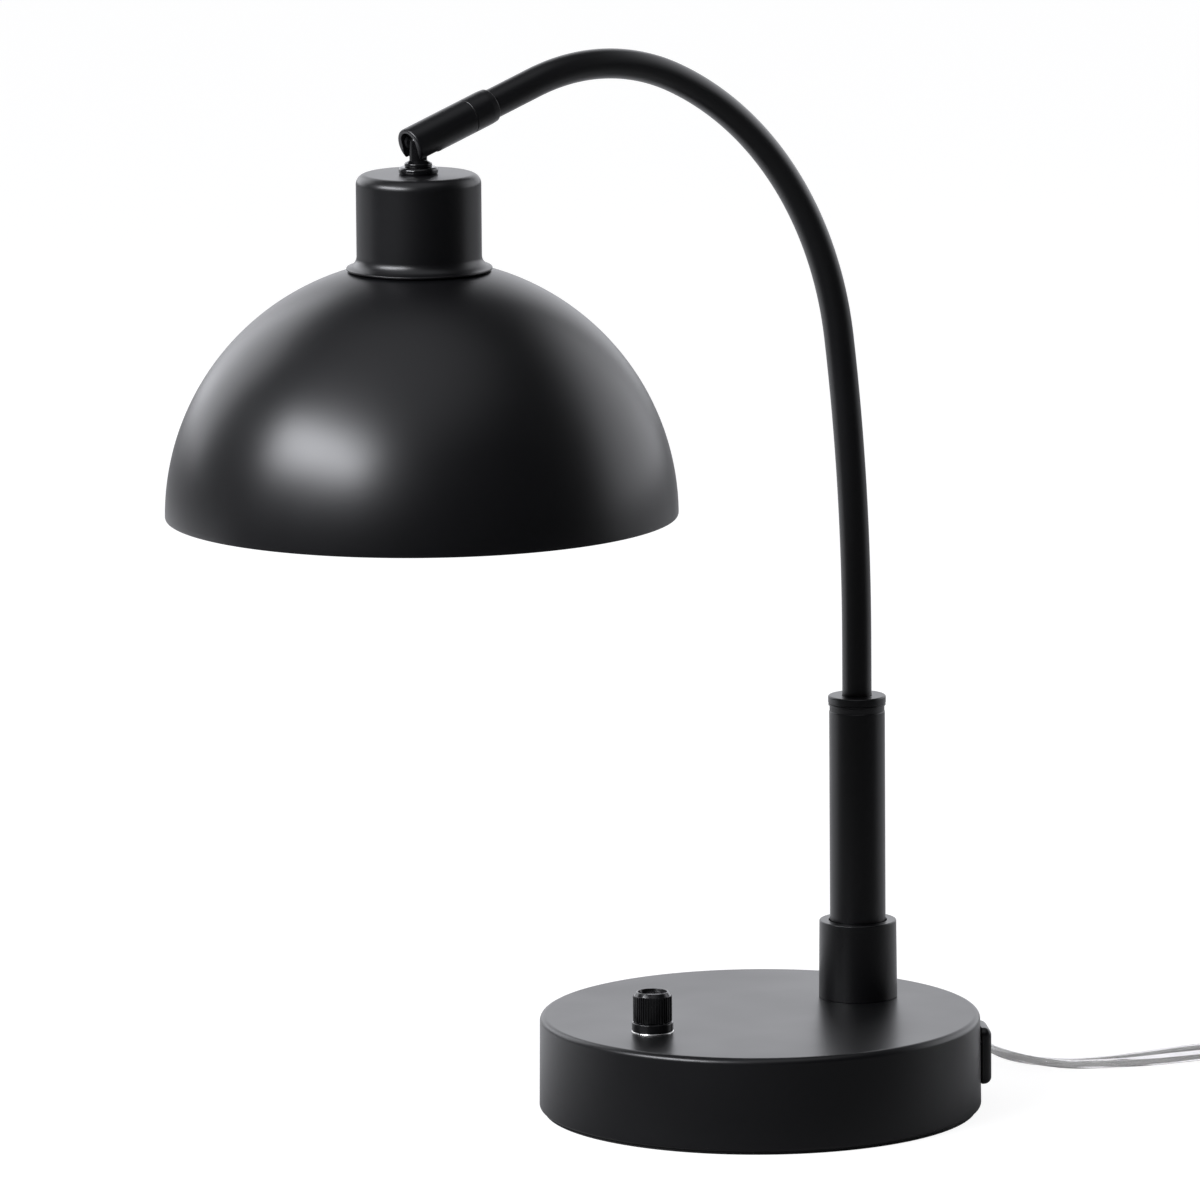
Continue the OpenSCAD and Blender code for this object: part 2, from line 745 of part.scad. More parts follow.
// Flat plate with bevelled edges. Its back touches the curved wall only at the middle.
module port_plate() {
    color(black) at_port() difference() {
        hull() {
            rotate([90, 0, 90]) linear_extrude(port_t - port_edge)
                round_rect(port_w, port_h, port_corner, $fn = 32);
            rotate([90, 0, 90]) linear_extrude(port_t)
                round_rect(port_w - 2 * port_edge, port_h - 2 * port_edge, port_corner, $fn = 32);
        }
        cube([20, usb_w + 2 * usb_wall + 0.2, usb_h + 2 * usb_wall + 0.2], center = true);
    }
}

module port_housing() {
    seat_w = usb_w + 2 * usb_wall + 2 * fit_gap;
    seat_h = usb_h + 2 * usb_wall + 2 * fit_gap;
    color(plastic_black) at_port() difference() {
        translate([-port_depth, -port_body_w / 2, -port_body_h / 2])
            cube([port_depth - 0.05, port_body_w, port_body_h]);
        translate([-port_depth + 2, -seat_w / 2, -seat_h / 2]) cube([port_depth, seat_w, seat_h]);
    }
}

module port_socket() {
    mouth = port_t - 0.2;
    color(zinc) at_port() difference() {
        translate([-port_depth + 2.1, -usb_w / 2 - usb_wall, -usb_h / 2 - usb_wall])
            cube([port_depth - 2.1 + mouth, usb_w + 2 * usb_wall, usb_h + 2 * usb_wall]);
        translate([-port_depth + 2, -usb_w / 2, -usb_h / 2]) cube([port_depth + 10, usb_w, usb_h]);
    }
}

module port_tongue() {
    color(nylon) at_port() {
        translate([-port_depth + 2.2, -usb_w / 2 + 0.1, -usb_h / 2 + 0.1])
            cube([2, usb_w - 0.2, usb_h - 0.2]);
        translate([-port_depth + 4, -usb_w / 2 + 0.8, usb_h / 2 - 0.5 - usb_tongue_t])
            cube([port_depth - 4, usb_w - 1.6, usb_tongue_t]);
    }
}

// ---- Cord outlet and inner leads ----

// Strain relief moulded on the cord: a threaded body through the wall, a flange, a taper
module cord_bushing() {
    foot = inner_r - outlet_body_in;
    flange_x = base_r + 0.1;
    taper_x = flange_x + outlet_flange_t;
    color(rubber_black) at_outlet() translate([0, 0, outlet_z]) rotate([0, 90, 0]) {
        translate([0, 0, foot]) cylinder(r = outlet_body_r, h = flange_x - foot + eps);
        translate([0, 0, flange_x]) cylinder(r = outlet_flange_r, h = outlet_flange_t);
        translate([0, 0, taper_x])
            cylinder(r1 = relief_root_r, r2 = relief_end_r, h = base_r + relief_len - taper_x);
    }
}

module bushing_nut() {
    color(plastic_black) at_outlet(inner_r - 5) translate([0, 0, outlet_z]) rotate([0, 90, 0])
        rotate(30) hex_nut(outlet_nut_af, outlet_body_r + fit_gap, 4);
}

// From the strain relief, round the column's nut, to the dimmer
module supply_lead() {
    start = inner_r - outlet_body_in;
    side = dimmer_size / 2 - dimmer_x;
    dimmer_z = shell_under_top - dimmer_h + 4;
    color(clear_pvc) inner_lead([
        [start * outlet_dir[0], start * outlet_dir[1], outlet_z],
        [(start - 8) * outlet_dir[0], (start - 8) * outlet_dir[1], outlet_z],
        [(start - 17) * outlet_dir[0], (start - 17) * outlet_dir[1] - 1, outlet_z],
        [30, 24, outlet_z], [5, 21, outlet_z], [-18, 15, outlet_z],
        [side + 14, 8, outlet_z + 4], [side + 4, 5, dimmer_z], [side + 0.02, 5, dimmer_z]]);
}

// From the dimmer into the column's nipple
module lamp_lead() {
    side = dimmer_size / 2 - dimmer_x;
    dimmer_z = shell_under_top - dimmer_h + 4;
    color(clear_pvc) inner_lead([
        [side + 0.02, -5, dimmer_z], [side + 4, -5, dimmer_z], [side + 14, -8, outlet_z + 4],
        [-12, -12, outlet_z],
        [column_x - 34, -11, outlet_z], [column_x - 17, -6, outlet_z],
        [column_x - 6, -1.5, outlet_z + 2], [column_x - 1, -0.2, outlet_z + 7],
        [column_x, 0, nipple_foot_z + 5], [column_x + 0.2, 0, sleeve_seat_z - 0.1]]);
}

// From the port's housing to the dimmer
module port_lead() {
    r = base_r - port_depth;
    dir = [cos(port_turn), sin(port_turn)];
    dimmer_y = -dimmer_size / 2;
    dimmer_z = shell_under_top - dimmer_h + 4;
    color(clear_pvc) inner_lead([
        [(r - 0.02) * dir[0], (r - 0.02) * dir[1], port_z], [(r - 4) * dir[0], (r - 4) * dir[1], port_z],
        [(r - 11) * dir[0], (r - 11) * dir[1] - 1, port_z],
        [40, -40, port_z], [20, -43, port_z], [-8, -37, port_z], [-32, -27, port_z + 1],
        [-46, -21, port_z + 3], [-dimmer_x + 3, dimmer_y - 4, dimmer_z],
        [-dimmer_x + 3, dimmer_y - 0.02, dimmer_z]]);
}

// ---- Free cord ----

module at_lead() {
    at_outlet(base_r + relief_len) children();
}

module cord_lead() {
    color(clear_pvc) at_lead() cord_tube(lead_route, oval_8);
}

module cord_coil() {
    color(clear_pvc) at_lead() cord_tube(coil_route, oval_6);
}

// Strap round all the turns, on the side away from the coil's ends
module cord_tie() {
    turn = coil_heading - 90;
    inner_w = coil_pitch * (coil_turns - 1) / 2 + climb_dip + cord_t + 2 * tie_slack;
    inner_h = coil_rise + cord_w + tie_slack;
    mid_r = coil_out_r - (coil_pitch * (coil_turns + 1) / 2 + climb_dip) / 2;
    color(black) at_lead() translate([coil_centre[0], coil_centre[1], 0]) rotate([0, 0, turn])
        translate([mid_r, tie_w / 2, tie_t + inner_h / 2]) rotate([90, 0, 0])
            linear_extrude(tie_w) difference() {
                round_rect(inner_w + 2 * tie_t, inner_h + 2 * tie_t, 2);
                round_rect(inner_w, inner_h, 1.4);
            }
}

module at_plug() {
    at_lead() translate(xyz(coil_end)) rotate([0, 0, coil_heading]) children();
}

module plug_body() {
    face = plug_neck_len + plug_len;
    slot_w_plug = blade_w + 2 * fit_gap;
    slot_h_plug = blade_t + 2 * fit_gap;
    color(clear_pvc) at_plug() difference() {
        union() {
            rotate([0, 90, 0])
                cylinder(r1 = cord_w / 2 + 1, r2 = plug_t / 2 - 1, h = plug_neck_len + eps);
            translate([plug_neck_len, 0, 0]) rotate([90, 0, 90]) linear_extrude(plug_len)
                round_rect(plug_t, plug_w, plug_corner);
        }
        for (side = [-1, 1])
            translate([face - blade_root - fit_gap, -slot_w_plug / 2, side * blade_gap / 2 - slot_h_plug / 2])
                cube([blade_root + 1, slot_w_plug, slot_h_plug]);
    }
}

module plug_blades() {
    x = plug_neck_len + plug_len;
    color(brass) at_plug() for (side = [-1, 1])
        translate([x, 0, side * blade_gap / 2 - blade_t / 2]) difference() {
            union() {
                translate([-blade_root, -blade_w / 2, 0])
                    cube([blade_len + blade_root - blade_w / 4, blade_w, blade_t]);
                translate([blade_len - blade_w / 4, 0, 0]) blade_tip();
            }
            translate([blade_len - 4, 0, -1]) cylinder(d = blade_hole_d, h = blade_t + 2);
        }
}

module blade_tip() {
    half = blade_w / 2;
    linear_extrude(blade_t)
        polygon([[-eps, -half], [half / 2, -half / 2], [half / 2, half / 2], [-eps, half]]);
}

// ---- Arm ----

module arm_tube() {
    color(black) difference() {
        arm_sweep(tube_foot_z, tube_stop, tube_r, tube_bore_r);
        at_column(clip_z) ring(tube_r + 1, tube_r - groove_depth, clip_t);
    }
}

module ring_cap() {
    color(black) at_column(ring_z) difference() {
        rotate_extrude() difference() {
            round_top_outline(ring_d / 2, ring_h, 1);
            translate([-ring_d, -1]) square([ring_d, ring_h + 2]);
        }
        translate([0, 0, -eps]) cylinder(r = tube_r + fit_gap, h = ring_h + 1);
    }
}

// Open ring in the tube's groove, under the lower bushing
module retaining_clip() {
    color(zinc) at_column(clip_z + 0.05) difference() {
        ring(sleeve_bore_r - 0.8, tube_r - groove_depth + fit_gap, clip_t - 0.1);
        translate([-sleeve_r, -tube_r * 0.6, -1]) cube([sleeve_r, tube_r * 1.2, clip_t + 2]);
    }
}

module arm_ferrule() {
    edge = 1.1;
    color(black) at_knuckle() translate([0, 0, seam_at - ferrule_len]) difference() {
        union() {
            cylinder(r1 = barrel_r - edge, r2 = barrel_r, h = edge);
            translate([0, 0, edge]) cylinder(r = barrel_r, h = ferrule_len - edge - 0.25);
            cylinder(r = barrel_r - 0.25, h = ferrule_len);
        }
        translate([0, 0, -eps]) cylinder(r = tube_r + fit_gap, h = ferrule_len + 1);
    }
}

// Barrel with an open end: a round mouth whose lower half is a slot for the lug
module knuckle_barrel() {
    edge = 0.8;
    color(black) at_knuckle() difference() {
        union() {
            translate([0, 0, seam_at]) cylinder(r = barrel_r - 0.25, h = 1);
            translate([0, 0, seam_at + 0.25]) cylinder(r = barrel_r, h = barrel_len - 0.25 - edge);
            translate([0, 0, fork_over]) mirror([0, 0, 1]) rotate_extrude() difference() {
                union() {
                    translate([barrel_r - edge, edge]) circle(r = edge);
                    square([barrel_r - edge, 2 * edge]);
                }
                translate([-barrel_r, -1]) square([barrel_r, 4]);
            }
        }
        translate([0, 0, cavity_back]) linear_extrude(fork_over - cavity_back + 1) mouth_outline();
        translate([0, 0, seam_at - 1]) cylinder(r = tube_r + fit_gap, h = tube_stop - seam_at + 1);
        translate([0, 0, tube_stop - eps]) cylinder(r = lead_r + 0.6, h = cavity_back - tube_stop + 1);
        rotate([-90, 0, 0]) {
            translate([0, 0, -pin_reach]) cylinder(r = pin_r + fit_gap, h = 2 * barrel_r);
            translate([0, 0, pin_reach - 0.6]) cylinder(r = pin_head_r + fit_gap, h = barrel_r);
        }
    }
}

// Section of the barrel's mouth
module mouth_outline(inset = 0) {
    w = slot_w - 2 * inset;
    translate([mouth_lift, 0]) circle(d = w);
    translate([-barrel_r - 1, -w / 2]) square([barrel_r + 1 + mouth_lift, w]);
}

// Cross pin with a slotted head, flush in the barrel's far side
module knuckle_pin() {
    head_z = pin_reach - 0.6 + fit_gap;
    color(zinc) at_knuckle() rotate([-90, 0, 0]) difference() {
        union() {
            translate([0, 0, -pin_reach + fit_gap]) cylinder(r = pin_r, h = pin_reach + head_z);
            translate([0, 0, head_z]) cylinder(r = pin_head_r, h = pin_head_h);
        }
        translate([-pin_head_r, -0.35, head_z + pin_head_h - 0.5]) cube([2 * pin_head_r, 0.7, 1]);
    }
}

// Two washers beside the lug, trimmed to the mouth's round side
module friction_washers() {
    color(rubber_black) at_knuckle() intersection() {
        rotate([-90, 0, 0]) for (side = [-1, 1])
            translate([0, 0, side * (lug_t / 2 + washer_gap + friction_washer_t / 2) - friction_washer_t / 2])
                ring(lug_r - 0.2, pin_r + fit_gap, friction_washer_t);
        translate([0, 0, cavity_back]) linear_extrude(2 * lug_d) mouth_outline(fit_gap);
    }
}

module arm_lead() {
    color(clear_pvc) arm_sweep(sleeve_seat_z, cavity_back, lead_r);
}

// ---- Shade ----

// Flat-sided lug with a domed head, a shoulder, and the hollow threaded stem below
module knuckle_lug() {
    foot = cap_top + nut_h;
    neck = cap_top + lug_rise;
    color(black_gloss) at_shade() difference() {
        union() {
            intersection() {
                union() {
                    translate([0, 0, foot]) cylinder(r = lug_r, h = neck - foot);
                    translate([0, 0, neck]) sphere(r = lug_r);
                }
                translate([-lug_r - 1, -lug_t / 2, foot]) cube([2 * lug_r + 2, lug_t, lug_rise + lug_r]);
            }
            translate([0, 0, foot]) cylinder(d = shoulder_d, h = shoulder_h);
            translate([0, 0, stem_foot]) cylinder(r = stem_r, h = foot - stem_foot + eps);
        }
        translate([0, -lug_r - 1, neck]) rotate([-90, 0, 0]) cylinder(r = pin_r + run_gap, h = 2 * lug_r + 2);
        translate([0, 0, stem_foot - eps]) cylinder(r = lead_r + 0.5, h = neck - 5 - stem_foot);
    }
}

module ring_nut() {
    r = nut_d / 2;
    edge = 0.7;
    color(black_gloss) at_shade(cap_top) difference() {
        union() {
            cylinder(r1 = r - edge, r2 = r, h = edge);
            translate([0, 0, edge]) cylinder(r = r, h = nut_h - 2 * edge);
            translate([0, 0, nut_h - edge]) cylinder(r1 = r, r2 = r - edge, h = edge);
        }
        translate([0, 0, -eps]) cylinder(r = stem_r + fit_gap, h = nut_h + 1);
    }
}

// Cup over the lamp holder, with a flared lip that stands a little off the dome
module neck_cap() {
    r = cap_d / 2;
    lip_r = lip_d / 2;
    flare_z = lip_foot + lip_h;
    color(black) at_shade() difference() {
        union() {
            translate([0, 0, land_h]) rotate_extrude() difference() {
                round_top_outline(r, cap_h, cap_edge_r);
                translate([-r, -1]) square([r, cap_h + 2]);
            }
            rotate_extrude() polygon([
                [lip_r - lip_t, lip_foot], [lip_r, lip_foot], [lip_r, lip_foot + 0.6],
                [r + 0.55 * (lip_r - r), lip_foot + lip_h * 0.21],
                [r + 0.28 * (lip_r - r), lip_foot + lip_h * 0.34],
                [r + 0.1 * (lip_r - r), lip_foot + lip_h * 0.52], [r, flare_z],
                [r - cap_wall / 2, flare_z], [r - cap_wall / 2, lip_foot + lip_h * 0.2],
                [r + 0.2, lip_foot + lip_h * 0.12]]);
        }
        translate([0, 0, land_h]) rotate_extrude() difference() {
            translate([0, -1]) round_top_outline(r - cap_wall, cap_h - cap_wall + 1, cap_edge_r - cap_wall);
            translate([-r, -2]) square([r, cap_h + 4]);
        }
        translate([0, 0, cap_top - cap_wall - 1]) cylinder(r = stem_r + fit_gap, h = cap_wall + 2);
    }
}

module lock_washer() {
    color(zinc) at_shade(cap_top - cap_wall - lock_washer_t) ring(9, stem_r + fit_gap, lock_washer_t);
}

module lock_nut() {
    color(zinc) at_shade(cap_top - cap_wall - lock_washer_t - lock_nut_h)
        hex_nut(lock_nut_af, stem_r + fit_gap, lock_nut_h);
}

// Spun hemisphere with a flat land round its hole
module dome_shade() {
    hole_r = skirt_d / 2 + 0.3;
    color(black) at_shade() rotate_extrude($fn = 160) difference() {
        intersection() {
            circle(r = dome_r);
            translate([0, 0]) square([dome_r + 1, land_h]);
        }
        intersection() {
            circle(r = dome_r - dome_wall);
            translate([-1, -1]) square([dome_r + 1, land_under + 1]);
        }
        translate([-1, land_under - 2]) square([hole_r + 1, 10]);
    }
}

module shade_ring() {
    color(plastic_black) at_shade(land_under - shade_ring_h - 0.01)
        ring(shade_ring_d / 2, skirt_d / 2 + fit_gap, shade_ring_h);
}

// ---- Lamp holder and bulb ----

module holder_body() {
    color(plastic_black) at_shade() difference() {
        union() {
            translate([0, 0, skirt_foot]) cylinder(d = skirt_d, h = land_h - skirt_foot + eps);
            translate([0, 0, land_h]) cylinder(d = holder_d, h = holder_top - land_h);
            translate([0, 0, holder_top - eps]) cylinder(d = 16, h = holder_neck_h);
        }
        translate([0, 0, skirt_foot - eps])
            cylinder(d = holder_bore, h = holder_top - holder_plate - skirt_foot + eps);
        translate([0, 0, stem_foot - eps])
            cylinder(r = stem_r + fit_gap, h = holder_neck_h + holder_plate + 1);
    }
}

module holder_insulator() {
    color(porcelain) at_shade(insulator_foot) ring(holder_bore / 2 - 0.1, lead_r + 0.5, insulator_t - 0.05);
}

module holder_screw_shell() {
    color(brass) at_shade(screw_shell_foot)
        ring(holder_bore / 2 - 0.1, bulb_cap_d / 2 + fit_gap, insulator_foot - screw_shell_foot);
}

module holder_contact() {
    color(brass) at_shade(bulb_top + 0.05) {
        translate([2.5, -2, contact_h - 0.45]) cube([7, 4, 0.4]);
        translate([-3, -2, 0]) cube([6, 4, 0.4]);
        translate([2.5, -2, 0]) cube([0.4, 4, contact_h - 0.05]);
    }
}

module shade_lead() {
    color(clear_pvc) at_shade(insulator_foot)
        cylinder(r = lead_r, h = cap_top + lug_rise - 6 - insulator_foot);
}

// Pear-shaped glass, open at its neck: a globe and a cone that leaves it at a tangent
module bulb_outline(offset_by) {
    neck_r = bulb_cap_d / 2 - 0.5 - offset_by;
    globe_r = bulb_d / 2 - offset_by;
    rise = bulb_cap_foot - bulb_centre;
    lean = 27;
    translate([0, 0, bulb_centre]) {
        sphere(r = globe_r, $fn = 96);
        translate([0, 0, globe_r * sin(lean)])
            cylinder(r1 = globe_r * cos(lean), r2 = neck_r, h = rise - globe_r * sin(lean) - eps + offset_by);
    }
}

module bulb_globe() {
    color(opal) at_shade() difference() {
        bulb_outline(0);
        bulb_outline(bulb_glass);
    }
}

module bulb_cap() {
    color(zinc) at_shade(bulb_cap_foot) difference() {
        cylinder(d = bulb_cap_d, h = bulb_cap_len - bulb_contact_h - 1);
        translate([0, 0, -eps]) cylinder(d = bulb_cap_d - 1.6, h = bulb_cap_len - bulb_contact_h - 2);
    }
}

module bulb_contact() {
    color(black_gloss) at_shade(bulb_top - bulb_contact_h - 1) {
        cylinder(r1 = bulb_cap_d / 2 - 3, r2 = 5, h = 1);
        translate([0, 0, 1 - eps]) cylinder(r1 = 4.6, r2 = 3, h = bulb_contact_h);
    }
}

foot_pad();
bottom_cover();
cover_screws();
base_weight();
base_shell();
weld_posts();
column_collar();
column_nipple();
nipple_washer();
nipple_nut();
sleeve_plug();
column_sleeve();
swivel_bushings();
dimmer_body();
dimmer_washer();
dimmer_ring();
dimmer_shaft();
dimmer_knob();
port_plate();
port_housing();
port_socket();
port_tongue();
cord_bushing();
bushing_nut();
supply_lead();
lamp_lead();
port_lead();
cord_lead();
cord_coil();
cord_tie();
plug_body();
plug_blades();
arm_tube();
ring_cap();
retaining_clip();
arm_ferrule();
knuckle_barrel();
knuckle_pin();
friction_washers();
arm_lead();
knuckle_lug();
ring_nut();
neck_cap();
lock_washer();
lock_nut();
dome_shade();
shade_ring();
holder_body();
holder_insulator();
holder_screw_shell();
holder_contact();
shade_lead();
bulb_globe();
bulb_cap();
bulb_contact();
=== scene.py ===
"""Black dome shade desk lamp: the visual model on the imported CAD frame, and its studio.

Sizes are millimetres in the CAD's own frame: +Z up, the column on +X, the shade over -X.
"""

from __future__ import annotations

import json
import logging
import math
from dataclasses import dataclass, field
from enum import Enum
from typing import Any, Callable, Sequence

import bpy
from mathutils import Matrix, Vector

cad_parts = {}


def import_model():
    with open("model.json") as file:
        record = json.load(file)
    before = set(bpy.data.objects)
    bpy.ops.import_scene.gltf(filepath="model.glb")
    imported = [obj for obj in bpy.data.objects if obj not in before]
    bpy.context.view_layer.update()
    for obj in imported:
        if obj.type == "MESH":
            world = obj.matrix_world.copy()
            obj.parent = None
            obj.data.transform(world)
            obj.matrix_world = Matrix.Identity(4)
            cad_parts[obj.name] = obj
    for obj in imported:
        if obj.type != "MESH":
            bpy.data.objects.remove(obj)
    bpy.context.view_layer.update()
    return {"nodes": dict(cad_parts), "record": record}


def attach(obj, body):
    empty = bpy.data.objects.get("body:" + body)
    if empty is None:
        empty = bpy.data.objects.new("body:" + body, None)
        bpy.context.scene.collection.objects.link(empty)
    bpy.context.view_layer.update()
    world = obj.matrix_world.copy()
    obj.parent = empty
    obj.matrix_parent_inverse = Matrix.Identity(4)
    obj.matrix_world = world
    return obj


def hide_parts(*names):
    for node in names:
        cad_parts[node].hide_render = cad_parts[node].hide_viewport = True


MM = 0.001
# Metres: vertices closer than this become one.
MERGE = 1.5e-6
# Degrees: the bevel leaves flatter edges alone.
SHARP_ANGLE = 28.0
# Millimetres by which a cutter stands clear of what it cuts.
OVERCUT = 1.0
# Millimetres within which two places count as one.
NEAR = 0.01
# Millimetres between faces that would else lie in one plane, and round a tube in its ring.
HAIR = 0.01
PLAY = 0.05
log = logging.getLogger("lamp")

# Sizes that two sub-assemblies share, in millimetres and degrees.
DRUM_RADIUS = 90.0
BASE_TOP = 39.5
COLUMN_X = 52.0
TUBE_RADIUS = 6.0
TUBE_BORE = TUBE_RADIUS + PLAY
TUBE_STOP = 15.0
STEM_RADIUS = 4.95
SHADE_WALL = 1.2
PORT_TURN = -33.0
PORT_HEIGHT = 20.575
OUTLET_TURN = 33.0
OUTLET_HEIGHT = 19.0

Profile = list[tuple[float, float]]
Route = list[Vector]


class Body(str, Enum):
    """The CAD bodies that a piece can ride on."""

    BASE = "base"
    KNOB = "knob"
    ARM = "arm"
    SHADE = "shade"


# ---- Bench: the modelling moves ----


def linear(code: str, alpha: float = 1.0) -> tuple[float, float, float, float]:
    """Turns an sRGB hex colour into linear values.

    Args:
        code: The colour, such as "#1b1b1d".
        alpha: The fourth value.

    Returns:
        Red, green, blue and alpha.
    """
    parts = [int(code[i : i + 2], 16) / 255 for i in (1, 3, 5)]
    red, green, blue = (
        p / 12.92 if p <= 0.04045 else ((p + 0.055) / 1.055) ** 2.4 for p in parts
    )
    return red, green, blue, alpha


def swung(degrees: float) -> Matrix:
    """Gives a turn about the upright axis."""
    return Matrix.Rotation(math.radians(degrees), 4, "Z")


def arc(
    centre: tuple[float, float], radius: float, start: float, end: float, steps: int
) -> Profile:
    """Gives the points of an arc, ends included, with its angles in degrees."""
    turns = [math.radians(start + (end - start) * k / steps) for k in range(steps + 1)]
    return [(centre[0] + radius * math.cos(a), centre[1] + radius * math.sin(a)) for a in turns]


def rounded(
    corners: Sequence[tuple[float, float, float]], closed: bool = True, steps: int = 5
) -> Profile:
    """Rounds the corners of an outline.

    Args:
        corners: Each corner's two coordinates and its radius.
        closed: Whether the last corner joins the first.
        steps: How many straight pieces a rounding has.

    Returns:
        The outline's points.
    """
    points: Profile = []
    for index, (x, y, radius) in enumerate(corners):
        if radius <= 0 or (not closed and index in (0, len(corners) - 1)):
            points.append((x, y))
            continue
        corner = Vector((x, y))
        back = (Vector(corners[index - 1][:2]) - corner).normalized()
        ahead = (Vector(corners[(index + 1) % len(corners)][:2]) - corner).normalized()
        half = back.angle(ahead) / 2
        centre = corner + (back + ahead).normalized() * radius / math.sin(half)
        first = corner + back * radius / math.tan(half) - centre
        last = corner + ahead * radius / math.tan(half) - centre
        start = math.atan2(first.y, first.x)
        sweep = (math.atan2(last.y, last.x) - start + math.pi) % math.tau - math.pi
        points += [
            (centre.x + radius * math.cos(start + sweep * k / steps),
             centre.y + radius * math.sin(start + sweep * k / steps))
            for k in range(steps + 1)
        ]
    return points


def deselect() -> None:
    """Leaves edit mode and deselects every object."""
    if bpy.context.mode != "OBJECT":
        bpy.ops.object.mode_set(mode="OBJECT")
    bpy.ops.object.select_all(action="DESELECT")


def pick(*objects: bpy.types.Object) -> bpy.types.Object:
    """Selects these objects only and makes the first one active.

    Args:
        *objects: The objects.

    Returns:
        The first one.
    """
    deselect()
    for obj in objects:
        obj.select_set(True)
    bpy.context.view_layer.objects.active = objects[0]
    return objects[0]


def begin(name: str, primitive: Callable[..., Any], **sizes: Any) -> bpy.types.Object:
    """Adds a primitive, names it and opens it in edit mode with all of it selected.

    Args:
        name: The new object's name.
        primitive: One of bpy.ops.mesh's primitives.
        **sizes: The primitive's own settings.

    Returns:
        The new object.
    """
    deselect()
    primitive(**sizes)
    obj = bpy.context.object
    obj.name = obj.data.name = name
    bpy.ops.object.transform_apply(location=True, rotation=True, scale=True)
    bpy.ops.object.mode_set(mode="EDIT")
    bpy.ops.mesh.select_mode(type="VERT")
    bpy.ops.mesh.select_all(action="SELECT")
    return obj


def close_up() -> None:
    """Merges doubles, points all faces outwards and leaves edit mode."""
    bpy.ops.mesh.select_all(action="SELECT")
    bpy.ops.mesh.remove_doubles(threshold=MERGE)
    bpy.ops.mesh.normals_make_consistent(inside=False)
    bpy.ops.object.mode_set(mode="OBJECT")


def draw_chain(name: str, spots: Sequence[Vector], closed: bool) -> bpy.types.Object:
    """Draws a chain of vertices by extruding one from spot to spot, and stays in edit mode.

    Args:
        name: The new object's name.
        spots: The vertices' places in metres.
        closed: Whether the last vertex joins the first.

    Returns:
        The object, open in edit mode.
    """
    obj = begin(name, bpy.ops.mesh.primitive_plane_add, size=MM)
    bpy.ops.mesh.merge(type="CENTER")
    bpy.ops.transform.translate(value=spots[0])
    ends = list(spots[1:]) + ([spots[0]] if closed else [])
    for start, end in zip(spots, ends):
        bpy.ops.mesh.extrude_vertices_move(TRANSFORM_OT_translate={"value": end - start})
    bpy.ops.mesh.select_all(action="SELECT")
    bpy.ops.mesh.remove_doubles(threshold=MERGE)
    return obj


def turned(
    name: str,
    outline: Profile,
    at: tuple[float, float] = (0.0, 0.0),
    closed: bool = True,
    steps: int = 96,
) -> bpy.types.Object:
    """Turns an outline round an upright axis, as on a lathe.

    Args:
        name: The new object's name.
        outline: Points of radius and height in millimetres.
        at: Where the axis stands.
        closed: Whether the outline's end joins its start. An open one has both on the axis.
        steps: How many sides the turned piece has.

    Returns:
        The finished mesh object.
    """
    spots = [Vector(((at[0] + r) * MM, at[1] * MM, z * MM)) for r, z in outline]
    obj = draw_chain(name, spots, closed)
    bpy.ops.mesh.spin(
        steps=steps, angle=math.tau, center=(at[0] * MM, at[1] * MM, 0), axis=(0, 0, 1),
        use_auto_merge=True,
    )
    close_up()
    return obj


def slab(name: str, outline: Profile, thickness: float) -> bpy.types.Object:
    """Draws a flat outline in XY, fills it and gives it a thickness upwards.

    Args:
        name: The new object's name.
        outline: The outline's points in millimetres.
        thickness: The height above z = 0.

    Returns:
        The finished mesh object.
    """
    obj = draw_chain(name, [Vector((x * MM, y * MM, 0)) for x, y in outline], True)
    bpy.ops.mesh.edge_face_add()
    bpy.ops.mesh.extrude_region_move(TRANSFORM_OT_translate={"value": (0, 0, thickness * MM)})
    close_up()
    return obj


def choose(obj: bpy.types.Object, faces: Callable[[Any], bool]) -> None:
    """Opens an object in edit mode with the faces that pass a test selected.

    Args:
        obj: The object.
        faces: Tells for one mesh polygon whether it is wanted.
    """
    pick(obj)
    bpy.ops.object.mode_set(mode="EDIT")
    bpy.ops.mesh.select_mode(type="FACE")
    bpy.ops.mesh.select_all(action="DESELECT")
    bpy.ops.object.mode_set(mode="OBJECT")
    for polygon in obj.data.polygons:
        polygon.select = faces(polygon)
    bpy.ops.object.mode_set(mode="EDIT")


def bevel_edges(
    obj: bpy.types.Object, width: float, segments: int, test: Callable[[Vector, Vector], bool]
) -> None:
    """Bevels the sharp edges whose two ends pass a test.

    Args:
        obj: The object.
        width: The bevel's width in millimetres.
        segments: How many pieces the rounding has.
        test: Tells for an edge's two ends whether it is wanted.
    """
    pick(obj)
    bpy.ops.object.mode_set(mode="EDIT")
    bpy.ops.mesh.select_mode(type="EDGE")
    bpy.ops.mesh.select_all(action="DESELECT")
    bpy.ops.mesh.edges_select_sharp(sharpness=math.radians(SHARP_ANGLE))
    bpy.ops.object.mode_set(mode="OBJECT")
    spots = obj.data.vertices
    for edge in obj.data.edges:
        if edge.select:
            a, b = (spots[i].co for i in edge.vertices)
            edge.select = test(a, b)
    for polygon in obj.data.polygons:
        polygon.select = False
    bpy.ops.object.mode_set(mode="EDIT")
    bpy.ops.mesh.bevel(
        offset=width * MM, segments=segments, profile=0.5, affect="EDGES", clamp_overlap=True
    )
    close_up()


